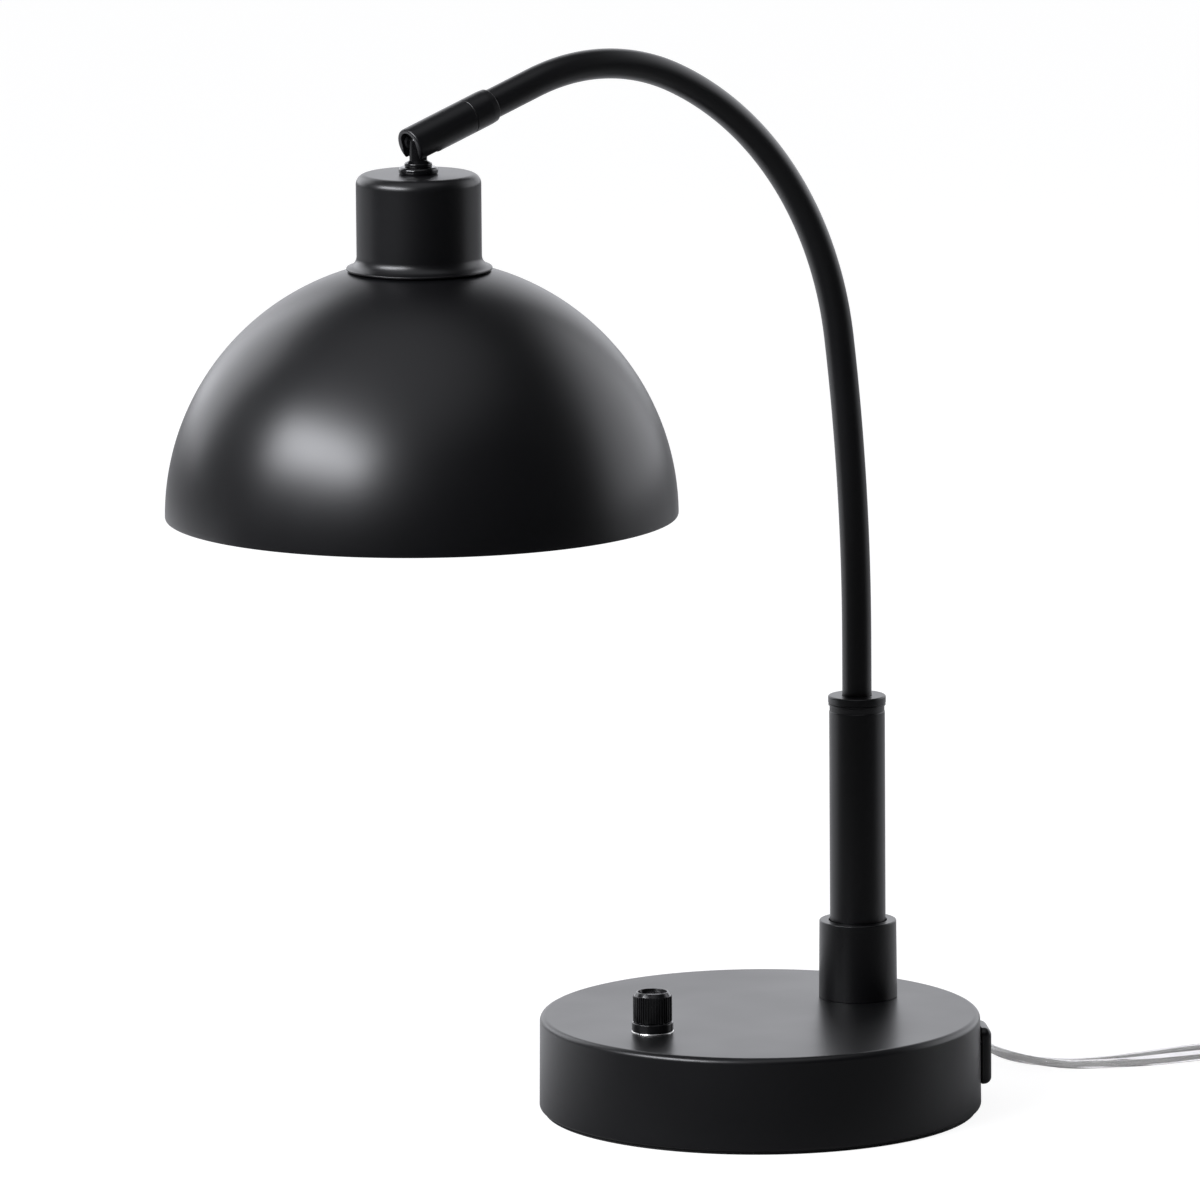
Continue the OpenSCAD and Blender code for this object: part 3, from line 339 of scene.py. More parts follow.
def cut(obj: bpy.types.Object, cutter: bpy.types.Object) -> bpy.types.Object:
    """Cuts one object with another, which is used up.

    Args:
        obj: The object.
        cutter: What is taken away from it.

    Returns:
        The object.
    """
    pick(obj)
    bpy.ops.object.modifier_add(type="BOOLEAN")
    modifier = obj.modifiers[-1]
    modifier.object, modifier.operation, modifier.solver = cutter, "DIFFERENCE", "EXACT"
    bpy.ops.object.modifier_apply(modifier=modifier.name)
    bpy.data.objects.remove(cutter)
    return obj


def block(name: str, low: Sequence[float], high: Sequence[float]) -> bpy.types.Object:
    """Makes a box between two corners.

    Args:
        name: The new object's name.
        low: The lowest corner in millimetres.
        high: The highest corner in millimetres.

    Returns:
        The mesh object.
    """
    size = [b - a for a, b in zip(low, high)]
    begin(name, bpy.ops.mesh.primitive_cube_add, size=1.0)
    bpy.ops.transform.resize(value=[s * MM for s in size])
    bpy.ops.transform.translate(value=[(a + b) / 2 * MM for a, b in zip(low, high)])
    bpy.ops.object.mode_set(mode="OBJECT")
    return bpy.context.object


def place(
    obj: bpy.types.Object, spot: Sequence[float], turn: Matrix | None = None
) -> bpy.types.Object:
    """Turns an object about the origin, moves it and applies both.

    Args:
        obj: The object.
        spot: Where its origin goes, in millimetres.
        turn: The turn, or a whole placement that comes before the move.

    Returns:
        The object.
    """
    pick(obj)
    obj.matrix_world = Matrix.Translation([s * MM for s in spot]) @ (turn or Matrix.Identity(4))
    bpy.ops.object.transform_apply(location=True, rotation=True, scale=True)
    return obj


def joined(first: bpy.types.Object, *others: bpy.types.Object) -> bpy.types.Object:
    """Joins objects into the first one and returns it."""
    pick(first, *others)
    bpy.ops.object.join()
    return first


def swept(
    name: str, route: Route, rolls: Sequence[float], section: Profile
) -> bpy.types.Object:
    """Sweeps a section along a route and closes both ends.

    Args:
        name: The new object's name.
        route: The centre line's points in metres.
        rolls: The section's turn at each point, in degrees: its first axis stands upright at 0
            and lies flat at 90.
        section: The section's points in millimetres.

    Returns:
        The mesh object.
    """
    count, vertices, faces = len(section), [], []
    for index, spot in enumerate(route):
        along = (route[min(index + 1, len(route) - 1)] - route[max(index - 1, 0)]).normalized()
        side = Vector((0, 0, 1)).cross(along).normalized()
        up = along.cross(side)
        roll = math.radians(rolls[index])
        wide = math.cos(roll) * up + math.sin(roll) * side
        thin = math.cos(roll) * side - math.sin(roll) * up
        vertices += [spot + (wide * a + thin * b) * MM for a, b in section]
    for ring in range(len(route) - 1):
        low, high = ring * count, (ring + 1) * count
        faces += [
            (low + k, low + (k + 1) % count, high + (k + 1) % count, high + k) for k in range(count)
        ]
    faces += [tuple(range(count)), tuple(len(vertices) - 1 - k for k in range(count))]
    mesh = bpy.data.meshes.new(name)
    mesh.from_pydata(vertices, [], faces)
    obj = bpy.data.objects.new(name, mesh)
    bpy.context.scene.collection.objects.link(obj)
    pick(obj)
    bpy.ops.object.mode_set(mode="EDIT")
    close_up()
    return obj


# ---- Finishes ----

# A noise's value lies between these for most of the surface.
NOISE_LOW = 0.3
NOISE_HIGH = 0.7
# How many finer layers the mottle and the grain have, and how strong these are.
NOISE_DETAIL = 2.0
NOISE_FINENESS = 0.55
# How strongly large faces set the shading of their corners, where 50 is even.
FLAT_WEIGHT = 60
# The UV map of a swept round piece, in millimetres.
RUN_MAP = "run"


def add_node(
    tree: bpy.types.NodeTree,
    kind: str,
    settings: dict[str | int, Any] | None = None,
    links: dict[str | int, Any] | None = None,
) -> bpy.types.Node:
    """Adds one shader node.

    Args:
        tree: The node tree.
        kind: The node's type name.
        settings: Values for its properties or its inputs, by name or number.
        links: Sockets that feed its inputs, by name or number.

    Returns:
        The node.
    """
    node = tree.nodes.new(kind)
    for key, value in (settings or {}).items():
        if isinstance(key, str) and hasattr(node, key):
            setattr(node, key, value)
        else:
            node.inputs[key].default_value = value
    for key, socket in (links or {}).items():
        tree.links.new(socket, node.inputs[key])
    return node


@dataclass(frozen=True)
class Finish:
    """A finish: the record's slot, the material's name, its shader's values and its grain.

    The grain is the surface's small relief, and the mottle its slow change of tone and gloss.
    """

    slot: str
    name: str
    colour: str
    roughness: float
    metallic: float = 0.0
    ior: float = 1.5
    coat: float = 0.0
    coat_roughness: float = 0.1
    grain_mm: float = 1.0
    grain_depth_mm: float = 0.01
    grain_share: float = 0.1
    mottle_mm: float = 20.0
    mottle_share: float = 0.08
    rough_share: float = 0.1

    def shader_settings(self) -> dict[str, Any]:
        """Gives the values set on the shader's own sockets.

        Returns:
            Each value by its socket's name.
        """
        values: dict[str, Any] = {
            "Base Color": linear(self.colour),
            "Metallic": self.metallic,
            "Roughness": self.roughness,
            "Coat Weight": self.coat,
            "Coat Roughness": self.coat_roughness,
        }
        if not self.metallic:
            values["IOR"] = self.ior
        return values

    def material(self) -> bpy.types.Material:
        """Makes the material, or finds it if it is there.

        Returns:
            The material.
        """
        found = bpy.data.materials.get(self.name)
        if found:
            return found
        material = bpy.data.materials.new(self.name)
        material.use_nodes = True
        tree = material.node_tree
        tree.nodes.clear()
        shader = add_node(tree, "ShaderNodeBsdfPrincipled", self.shader_settings())
        add_node(tree, "ShaderNodeOutputMaterial", None, {"Surface": shader.outputs[0]})
        self.dress(tree, shader)
        material.diffuse_color = linear(self.colour)
        return material

    def dress(self, tree: bpy.types.NodeTree, shader: bpy.types.Node) -> None:
        """Adds the mottle in colour and gloss, and the surface's grain.

        Args:
            tree: The material's node tree.
            shader: The shader that takes them.
        """
        spot = add_node(tree, "ShaderNodeTexCoord").outputs["Object"]
        mottle, grain = (
            add_node(
                tree,
                "ShaderNodeTexNoise",
                {"Scale": 1 / (size * MM), "Detail": NOISE_DETAIL, "Roughness": NOISE_FINENESS},
                {"Vector": spot},
            ).outputs["Fac"]
            for size in (self.mottle_mm, self.grain_mm)
        )
        brightness, gloss = (
            add_node(
                tree,
                "ShaderNodeMapRange",
                {
                    "From Min": NOISE_LOW,
                    "From Max": NOISE_HIGH,
                    "To Min": middle * (1 - share),
                    "To Max": middle * (1 + share),
                },
                {"Value": mottle},
            ).outputs["Result"]
            for middle, share in ((1.0, self.mottle_share), (self.roughness, self.rough_share))
        )
        colour = add_node(
            tree, "ShaderNodeHueSaturation", {"Color": linear(self.colour)}, {"Value": brightness}
        )
        bump = add_node(
            tree,
            "ShaderNodeBump",
            {"Strength": self.grain_share, "Distance": self.grain_depth_mm * MM},
            {"Height": grain},
        )
        tree.links.new(colour.outputs[0], shader.inputs["Base Color"])
        tree.links.new(gloss, shader.inputs["Roughness"])
        tree.links.new(bump.outputs[0], shader.inputs["Normal"])


# Polyester powder coat, sprayed and baked: near black with a soft satin sheen. Its melted
# grains leave a slight orange peel of about 1 mm, seen only where a highlight crosses it.
POWDER_BLACK = Finish(
    "powder_black", "satin_powder_coat", "#0a0a0c", 0.33,
    grain_mm=1.1, grain_depth_mm=0.02, grain_share=0.3,
    mottle_mm=45, mottle_share=0.06, rough_share=0.05,
)
# Stoved gloss lacquer on small turned brass and steel: deep black with sharp reflections.
LACQUER_BLACK = Finish(
    "lacquer_black", "stoved_gloss_lacquer", "#0c0c0d", 0.16, ior=1.52,
    grain_mm=0.9, grain_depth_mm=0.01, grain_share=0.12,
    mottle_mm=8, mottle_share=0.1, rough_share=0.2,
)
# Zinc plated steel: pale, slightly blue, with the faint clouding of the bath.
ZINC_STEEL = Finish(
    "zinc_steel", "zinc_plated_steel", "#b4b8bc", 0.30, metallic=1.0,
    grain_mm=0.6, grain_depth_mm=0.01, grain_share=0.15,
    mottle_mm=6, mottle_share=0.12, rough_share=0.3,
)
# Bright nickel plated washer: a thin light line under the knob.
BRIGHT_STEEL = Finish(
    "bright_steel", "bright_nickel_plate", "#dcdcda", 0.28, metallic=1.0,
    grain_mm=0.8, grain_depth_mm=0.004, grain_share=0.1,
    mottle_mm=5, mottle_share=0.05, rough_share=0.2,
)
# Sand cast grey iron in a thin primer: dark and dull, with the mould's coarse skin.
CAST_IRON = Finish(
    "iron", "primed_cast_iron", "#3d3e40", 0.62, metallic=0.3,
    grain_mm=0.9, grain_depth_mm=0.15, grain_share=0.5,
    mottle_mm=14, mottle_share=0.2, rough_share=0.15,
)
# Black EVA foam and soft PVC: matt, with closed cells of about half a millimetre.
RUBBER_BLACK = Finish(
    "rubber_black", "black_eva_foam", "#151516", 0.72,
    grain_mm=0.5, grain_depth_mm=0.05, grain_share=0.4,
    mottle_mm=12, mottle_share=0.12, rough_share=0.08,
)
# Moulded phenolic and nylon: black with a fine spark eroded texture.
MOULDED_BLACK = Finish(
    "moulded_black", "moulded_phenolic", "#1a1a1b", 0.42,
    grain_mm=0.45, grain_depth_mm=0.02, grain_share=0.3,
    mottle_mm=10, mottle_share=0.1, rough_share=0.1,
)
# Polished ABS knob: black, with crisp lights along its ribs.
GLOSS_BLACK = Finish(
    "gloss_black", "polished_abs", "#0f0f10", 0.2, ior=1.53,
    grain_mm=0.7, grain_depth_mm=0.006, grain_share=0.12,
    mottle_mm=4, mottle_share=0.08, rough_share=0.15,
)
# Natural nylon 6: milky and slightly waxy.
NYLON_WHITE = Finish(
    "nylon_white", "natural_nylon", "#e4e0d6", 0.38,
    grain_mm=0.5, grain_depth_mm=0.01, grain_share=0.2,
    mottle_mm=5, mottle_share=0.04, rough_share=0.1,
)
# Drawn brass, lightly tarnished.
BRASS = Finish(
    "brass", "drawn_brass", "#b8923f", 0.28, metallic=1.0,
    grain_mm=0.35, grain_depth_mm=0.008, grain_share=0.25,
    mottle_mm=4, mottle_share=0.1, rough_share=0.25,
)
# Rolled aluminium of the bulb's screw cap.
BULB_METAL = Finish(
    "bulb_metal", "rolled_aluminium", "#c6c8ca", 0.3, metallic=1.0,
    grain_mm=0.5, grain_depth_mm=0.01, grain_share=0.2,
    mottle_mm=5, mottle_share=0.08, rough_share=0.2,
)


@dataclass(frozen=True)
class OpalGlass(Finish):
    """Flashed opal glass: milk white, smooth outside, with a soft glow through it."""

    glow: float = 0.35
    glow_reach_mm: tuple[float, float, float] = (4.0, 4.0, 3.5)

    def shader_settings(self) -> dict[str, Any]:
        """Adds the light that scatters inside the glass.

        Returns:
            Each value by its socket's name.
        """
        return super().shader_settings() | {
            "Subsurface Weight": self.glow,
            "Subsurface Radius": tuple(reach * MM for reach in self.glow_reach_mm),
            "Subsurface Scale": 1.0,
        }


OPAL_GLASS = OpalGlass(
    "opal_glass", "flashed_opal_glass", "#f1eee6", 0.16, coat=0.4, coat_roughness=0.06,
    grain_mm=9, grain_depth_mm=0.05, grain_share=0.1,
    mottle_mm=30, mottle_share=0.02, rough_share=0.1,
)


@dataclass(frozen=True)
class ClearPvc(Finish):
    """Clear plasticised PVC, extruded: glassy but soft, faintly violet, with a slight ripple."""

    clearness: float = 0.96

    def shader_settings(self) -> dict[str, Any]:
        """Adds the light that passes through the jacket."""
        return super().shader_settings() | {"Transmission Weight": self.clearness}


CLEAR_PVC = ClearPvc(
    "clear_cord", "clear_pvc_jacket", "#faf9fd", 0.14, ior=1.53,
    grain_mm=2.5, grain_depth_mm=0.03, grain_share=0.25,
    mottle_mm=9, mottle_share=0.03, rough_share=0.3,
)


@dataclass(frozen=True)
class StrandedTin(Finish):
    """Bunched tinned copper strands: silver grey, with the strands' slanting lines and painted
    shade in the grooves between them.

    Real strands are 0.15 mm. The wave repeats every 0.63 of its unit, so these lie 0.2 mm
    apart, a third coarser, so that the render shows them.
    """

    unit_mm: float = 0.32
    wave_scale: float = 0.5
    slant: float = 0.35
    # The grooves' colour is painted shade: the dark between the strands, which are one tin colour
    # throughout.
    groove: str = "#8c8c89"
    waviness: float = 0.6
    ridge_mm: float = 0.08
    ridge_share: float = 0.5

    def dress(self, tree: bpy.types.NodeTree, shader: bpy.types.Node) -> None:
        """Draws the strands on the conductor's own UV map, whose units are millimetres, with
        painted shade in the grooves between them.

        Args:
            tree: The material's node tree.
            shader: The shader that takes them.
        """
        run = add_node(tree, "ShaderNodeUVMap", {"uv_map": RUN_MAP})
        lay = add_node(
            tree,
            "ShaderNodeMapping",
            {"Rotation": (0, 0, self.slant), "Scale": (1 / self.unit_mm,) * 3},
            {"Vector": run.outputs[0]},
        )
        strands = add_node(
            tree,
            "ShaderNodeTexWave",
            {"Scale": self.wave_scale, "Distortion": self.waviness, "Detail": 1.0},
            {"Vector": lay.outputs[0]},
        ).outputs["Fac"]
        # Painted shade: the groove colour goes where the wave is low, between the strands.
        colour = add_node(
            tree,
            "ShaderNodeMix",
            {"data_type": "RGBA", 6: linear(self.groove), 7: linear(self.colour)},
            {"Factor": strands},
        )
        bump = add_node(
            tree,
            "ShaderNodeBump",
            {"Strength": self.ridge_share, "Distance": self.ridge_mm * MM},
            {"Height": strands},
        )
        tree.links.new(colour.outputs[2], shader.inputs["Base Color"])
        tree.links.new(bump.outputs[0], shader.inputs["Normal"])


STRANDED_TIN = StrandedTin(
    "clear_cord", "stranded_tinned_copper", "#dededb", 0.42, metallic=0.05
)

FINISHES = {
    finish.slot: finish
    for finish in (
        POWDER_BLACK, LACQUER_BLACK, ZINC_STEEL, BRIGHT_STEEL, CAST_IRON, RUBBER_BLACK,
        MOULDED_BLACK, GLOSS_BLACK, NYLON_WHITE, CLEAR_PVC, BRASS, BULB_METAL, OPAL_GLASS,
    )
}


def dress(
    obj: bpy.types.Object,
    finish: Finish,
    body: Body,
    replaces: Sequence[str] = (),
    angle: float = 32.0,
    weighted: bool = True,
) -> bpy.types.Object:
    """Smooths a finished piece, gives it its material and sets it on its body.

    Args:
        obj: The piece.
        finish: Its finish.
        body: The CAD body it rides on.
        replaces: The CAD nodes it stands for.
        angle: Edges sharper than this, in degrees, stay sharp.
        weighted: Whether large flat faces keep their flat shading beside a rounding.

    Returns:
        The piece.
    """
    pick(obj)
    bpy.ops.object.shade_smooth_by_angle(angle=math.radians(angle))
    if weighted:
        bpy.ops.object.modifier_add(type="WEIGHTED_NORMAL")
        modifier = obj.modifiers[-1]
        modifier.keep_sharp, modifier.weight = True, FLAT_WEIGHT
        bpy.ops.object.modifier_apply(modifier=modifier.name)
    obj.data.materials.append(finish.material())
    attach(obj, body.value)
    if replaces:
        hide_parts(*replaces)
    obj.select_set(False)
    faces = len(obj.data.polygons)
    log.info("%s: %d faces, %s, rides on %s", obj.name, faces, finish.name, body.value)
    return obj


# ---- Base ----


@dataclass
class Base:
    """Pressed steel drum with its port and cord holes."""

    radius: float = DRUM_RADIUS
    taper: float = 0.4
    top: float = BASE_TOP
    foot: float = 1.5
    wall: float = 2.0
    top_thickness: float = 2.5
    edge: float = 2.5
    foot_edge: float = 1.2
    port_opening: tuple[float, float] = (16.2, 11.2)
    outlet_radius: float = 5.0
    reach: float = 8.0

    def drum(self) -> None:
        """Turns the drum and cuts its port and cord holes."""
        inner = self.radius - self.wall
        top_radius = self.radius - self.taper
        outline = rounded(
            [
                (0, self.top, 0), (top_radius, self.top, self.edge),
                (self.radius, self.foot, self.foot_edge), (inner, self.foot, 0.3),
                (inner, self.top - self.top_thickness, 1.0), (0, self.top - self.top_thickness, 0),
            ],
            closed=False, steps=8,
        )
        obj = turned("drum", outline, closed=False, steps=192)
        wide, high = (s / 2 for s in self.port_opening)
        opening = block(
            "port_cutter", (self.radius - self.reach, -wide, PORT_HEIGHT - high),
            (self.radius + self.reach, wide, PORT_HEIGHT + high),
        )
        cut(obj, place(opening, (0, 0, 0), swung(PORT_TURN)))
        hole = begin(
            "outlet_cutter", bpy.ops.mesh.primitive_cylinder_add, vertices=32,
            radius=self.outlet_radius * MM, depth=2 * self.reach * MM,
            rotation=(0, math.pi / 2, 0), location=(self.radius * MM, 0, OUTLET_HEIGHT * MM),
        )
        cut(obj, place(hole, (0, 0, 0), swung(OUTLET_TURN)))
        dress(obj, POWDER_BLACK, Body.BASE, ["base_shell"])

    def build(self) -> None:
        """Builds the drum."""
        self.drum()


# ---- Column ----


@dataclass
class Column:
    """Collar, sleeve and ring cap, all on the swivel's axis."""

    x: float = COLUMN_X
    foot: float = BASE_TOP
    collar_radius: float = 16.05
    collar_height: float = 32.0
    collar_taper: float = 0.3
    collar_bore: float = 5.2
    seat_depth: float = 11.5
    sleeve_radius: float = 11.4
    sleeve_wall: float = 2.4
    sleeve_top: float = 158.5
    mouth_gap: float = 0.5
    edge: float = 0.5
    flange_height: float = 2.1
    ring_radius: float = 11.8
    ring_height: float = 4.1
    ring_gap: float = 0.1
    ring_foot_radius: float = 11.7
    groove_radius: float = 11.3

    def collar(self) -> None:
        """Turns the collar with the seat in its top."""
        top, mouth = self.foot + self.collar_height, self.sleeve_radius + self.mouth_gap
        seat = top - self.seat_depth
        outline = rounded([
            (self.collar_bore, self.foot, 0), (self.collar_radius, self.foot, 0.25),
            (self.collar_radius - self.collar_taper, top, self.edge), (mouth, top, 0.3),
            (mouth, seat, 0), (self.collar_bore, seat, 0),
        ])
        obj = turned("collar", outline, (self.x, 0))
        dress(obj, POWDER_BLACK, Body.BASE, ["column_collar"])

    def sleeve(self) -> None:
        """Turns the sleeve."""
        foot = self.foot + self.collar_height - self.seat_depth
        bore = self.sleeve_radius - self.sleeve_wall
        outline = rounded([
            (bore, foot, 0), (self.sleeve_radius, foot, 0.3),
            (self.sleeve_radius, self.sleeve_top, self.edge), (bore, self.sleeve_top, 0.3),
        ])
        obj = turned("sleeve", outline, (self.x, 0))
        dress(obj, POWDER_BLACK, Body.BASE, ["column_sleeve"])

    def ring(self) -> None:
        """Turns the ring cap that covers the bearing, with a fine groove round its foot."""
        foot = self.sleeve_top + self.flange_height + self.ring_gap
        top = foot + self.ring_height
        outline = rounded([
            (TUBE_BORE, foot, 0), (self.ring_foot_radius, foot, 0.25),
            (self.ring_foot_radius, foot + 0.75, 0.2), (self.groove_radius, foot + 0.8, 0),
            (self.groove_radius, foot + 1.1, 0), (self.ring_radius, foot + 1.15, 0.2),
            (self.ring_radius, top, 0.7), (TUBE_BORE, top, 0.3),
        ])
        obj = turned("ring_cap_turned", outline, (self.x, 0))
        dress(obj, POWDER_BLACK, Body.ARM, ["ring_cap"])

    def build(self) -> None:
        """Builds the column's three turned pieces."""
        self.collar()
        self.sleeve()
        self.ring()


# ---- Arm ----


@dataclass(frozen=True)
class Bend:
    """One bend of the tube: its radius, its angle in degrees and its number of steps."""

    radius: float
    angle: float
    steps: int


@dataclass
class Arm:
    """Bent steel tube: a straight foot, three bends and the run to the knuckle."""

    x: float = COLUMN_X
    foot: float = 74.0
    bend_foot: float = 188.0
    bends: tuple[Bend, ...] = (Bend(900.0, 8.0, 16), Bend(147.0, 57.5, 56), Bend(100.0, 42.0, 40))
    run: float = 61.0
    sides: int = 56

    def knuckle_place(self) -> tuple[Vector, float]:
        """Follows the bends to the knuckle's pin.

        Returns:
            The pin's place in millimetres and the tube's lean from upright in degrees.
        """
        spot, lean = Vector((self.x, 0, self.bend_foot)), 0.0
        for bend in self.bends:
            a, b = math.radians(lean), math.radians(lean + bend.angle)
            across, up = math.cos(b) - math.cos(a), math.sin(b) - math.sin(a)
            spot += Vector((bend.radius * across, 0, bend.radius * up))
            lean += bend.angle
        return spot + self.ahead(lean) * self.run, lean

    def ahead(self, lean: float) -> Vector:
        """Gives the tube's direction where it leans so many degrees."""
        heading = math.radians(lean)
        return Vector((-math.sin(heading), 0, math.cos(heading)))

    def tube(self) -> None:
        """Extrudes the foot, spins each bend about its own centre and extrudes the last run."""
        obj = begin(
            "arm_tube_bent", bpy.ops.mesh.primitive_circle_add, vertices=self.sides,
            radius=TUBE_RADIUS * MM, location=(self.x * MM, 0, self.foot * MM),
        )
        rise = self.bend_foot - self.foot
        bpy.ops.mesh.extrude_region_move(TRANSFORM_OT_translate={"value": (0, 0, rise * MM)})
        spot, lean = Vector((self.x, 0, self.bend_foot)), 0.0
        for bend in self.bends:
            a, b = math.radians(lean), math.radians(lean + bend.angle)
            centre = spot - Vector((math.cos(a), 0, math.sin(a))) * bend.radius
            bpy.ops.mesh.spin(steps=bend.steps, angle=b - a, center=centre * MM, axis=(0, 1, 0))
            spot = centre + Vector((math.cos(b), 0, math.sin(b))) * bend.radius
            lean += bend.angle
        last = self.ahead(lean) * (self.run - TUBE_STOP) * MM
        bpy.ops.mesh.extrude_region_move(TRANSFORM_OT_translate={"value": last})
        bpy.ops.mesh.select_all(action="SELECT")
        bpy.ops.mesh.fill_holes(sides=0)
        close_up()
        dress(obj, POWDER_BLACK, Body.ARM, ["arm_tube"])

    def build(self) -> None:
        """Builds the tube."""
        self.tube()


# ---- Knuckle ----


@dataclass
class Knuckle:
    """Barrel on the tube's end, and the lug that tilts in it."""

    pin: Vector
    lean: float
    radius: float = 7.1
    over: float = 4.6
    length: float = 30.2
    ferrule: float = 11.8
    ferrule_taper: float = 3.0
    seam_depth: float = 0.3
    seam_width: float = 0.22
    seam_gap: float = 0.02
    slot: float = 9.2
    mouth_lift: float = 0.9
    cavity: float = 7.0
    stud_radius: float = 4.9
    stud_drop: float = 9.0
    flat_rise: float = 1.2
    lug_radius: float = 3.5
    lug_thickness: float = 6.4
    rise: float = 12.6
    nut_radius: float = 7.8
    nut_height: float = 2.8
    shoulder_radius: float = 5.45
    shoulder_height: float = 1.6

    def along(self, obj: bpy.types.Object) -> bpy.types.Object:
        """Sets a piece that was modelled upright at the origin on the barrel's axis."""
        return place(obj, self.pin, Matrix.Rotation(-math.radians(self.lean), 4, "Y"))

    def end_ring(self) -> None:
        """Turns the ring that closes the tube's end, with a shadow gap beside the barrel."""
        seam = self.over - self.length
        foot = seam - self.ferrule
        outline = rounded([
            (TUBE_BORE, foot, 0.1), (self.radius - 0.2, foot, 0.55),
            (self.radius, foot + self.ferrule_taper, 1.5),
            (self.radius, seam - self.seam_width, 0.18),
            (self.radius - self.seam_depth, seam - self.seam_gap, 0),
            (TUBE_BORE, seam - self.seam_gap, 0),
        ], steps=4)
        obj = self.along(turned("end_ring", outline, steps=72))
        dress(obj, POWDER_BLACK, Body.ARM, ["arm_ferrule"])

    def barrel(self) -> None:
        """Turns the barrel and cuts the round mouth with its slot for the lug."""
        seam = self.over - self.length
        outline = rounded([
            (0, self.over, 0), (self.radius, self.over, 0.8),
            (self.radius, seam + self.seam_width, 0.18),
            (self.radius - self.seam_depth, seam + self.seam_gap, 0),
            (TUBE_BORE, seam + self.seam_gap, 0), (TUBE_BORE, -TUBE_STOP, 0), (0, -TUBE_STOP, 0),
        ], closed=False, steps=6)
        obj = turned("barrel", outline, closed=False, steps=96)
        half = self.slot / 2
        clear = -self.radius - OVERCUT
        mouth = [(x + self.mouth_lift, y) for x, y in arc((0, 0), half, -90, 90, 24)]
        mouth += [(clear, half), (clear, -half)]
        cutter = slab("mouth_cutter", mouth, self.over + self.cavity + OVERCUT)
        cut(obj, place(cutter, (0, 0, -self.cavity)))

        def at_mouth(a: Vector, b: Vector) -> bool:
            """Tells whether an edge lies round the top or down the slot's outer sides.

            Args:
                a: One of its ends.
                b: The other end.

            Returns:
                Whether it is wanted.
            """
            if min(a.z, b.z) > (self.over - NEAR) * MM:
                return True
            in_slot = max(abs(a.y), abs(b.y)) < (half + 0.05) * MM and max(a.x, b.x) < 0
            return in_slot and min(a.xy.length, b.xy.length) > (self.radius - 0.3) * MM

        bevel_edges(obj, 0.35, 3, at_mouth)
        dress(self.along(obj), POWDER_BLACK, Body.ARM, ["knuckle_barrel"])

    def lug(self) -> None:
        """Turns the lug with its shoulder, and planes its two flats."""
        foot, low = self.nut_height - self.rise, self.nut_height - self.rise - self.stud_drop
        shoulder, r = foot + self.shoulder_height, self.lug_radius
        outline = rounded([
            (0, low, 0), (self.stud_radius, low, 0), (self.stud_radius, foot, 0),
            (self.shoulder_radius, foot, 0.3), (self.shoulder_radius, shoulder, 0.5),
            (r, shoulder + 0.3, 0.4),
        ], closed=False, steps=4)[:-1] + [(r, shoulder + 0.9)] + arc((0, 0), r, 0, 90, 14)
        obj = turned("lug", outline, closed=False, steps=72)
        flat, clear = self.lug_thickness / 2, 9.0
        for near, far in ((-clear, -flat), (flat, clear)):
            low_corner = (-clear, near, shoulder + self.flat_rise)
            cut(obj, block("flat_cutter", low_corner, (clear, far, clear)))
        bevel_edges(obj, 0.3, 3, lambda a, b: min(abs(a.y), abs(b.y)) > (flat - NEAR) * MM)
        place(obj, self.pin)
        dress(obj, LACQUER_BLACK, Body.SHADE, ["knuckle_lug"])

    def nut(self) -> None:
        """Turns the round nut on the neck cap."""
        foot, top = -self.rise, -self.rise + self.nut_height
        outline = rounded([
            (STEM_RADIUS, foot, 0), (self.nut_radius - 0.3, foot, 0.25),
            (self.nut_radius, foot + 0.8, 0.5), (self.nut_radius, top, 1.2), (STEM_RADIUS, top, 0),
        ], steps=6)
        obj = place(turned("round_nut", outline, steps=72), self.pin)
        dress(obj, LACQUER_BLACK, Body.SHADE, ["ring_nut"])

    def build(self) -> None:
        """Builds the knuckle's four outer pieces."""
        self.end_ring()
        self.barrel()
        self.lug()
        self.nut()


# ---- Shade ----


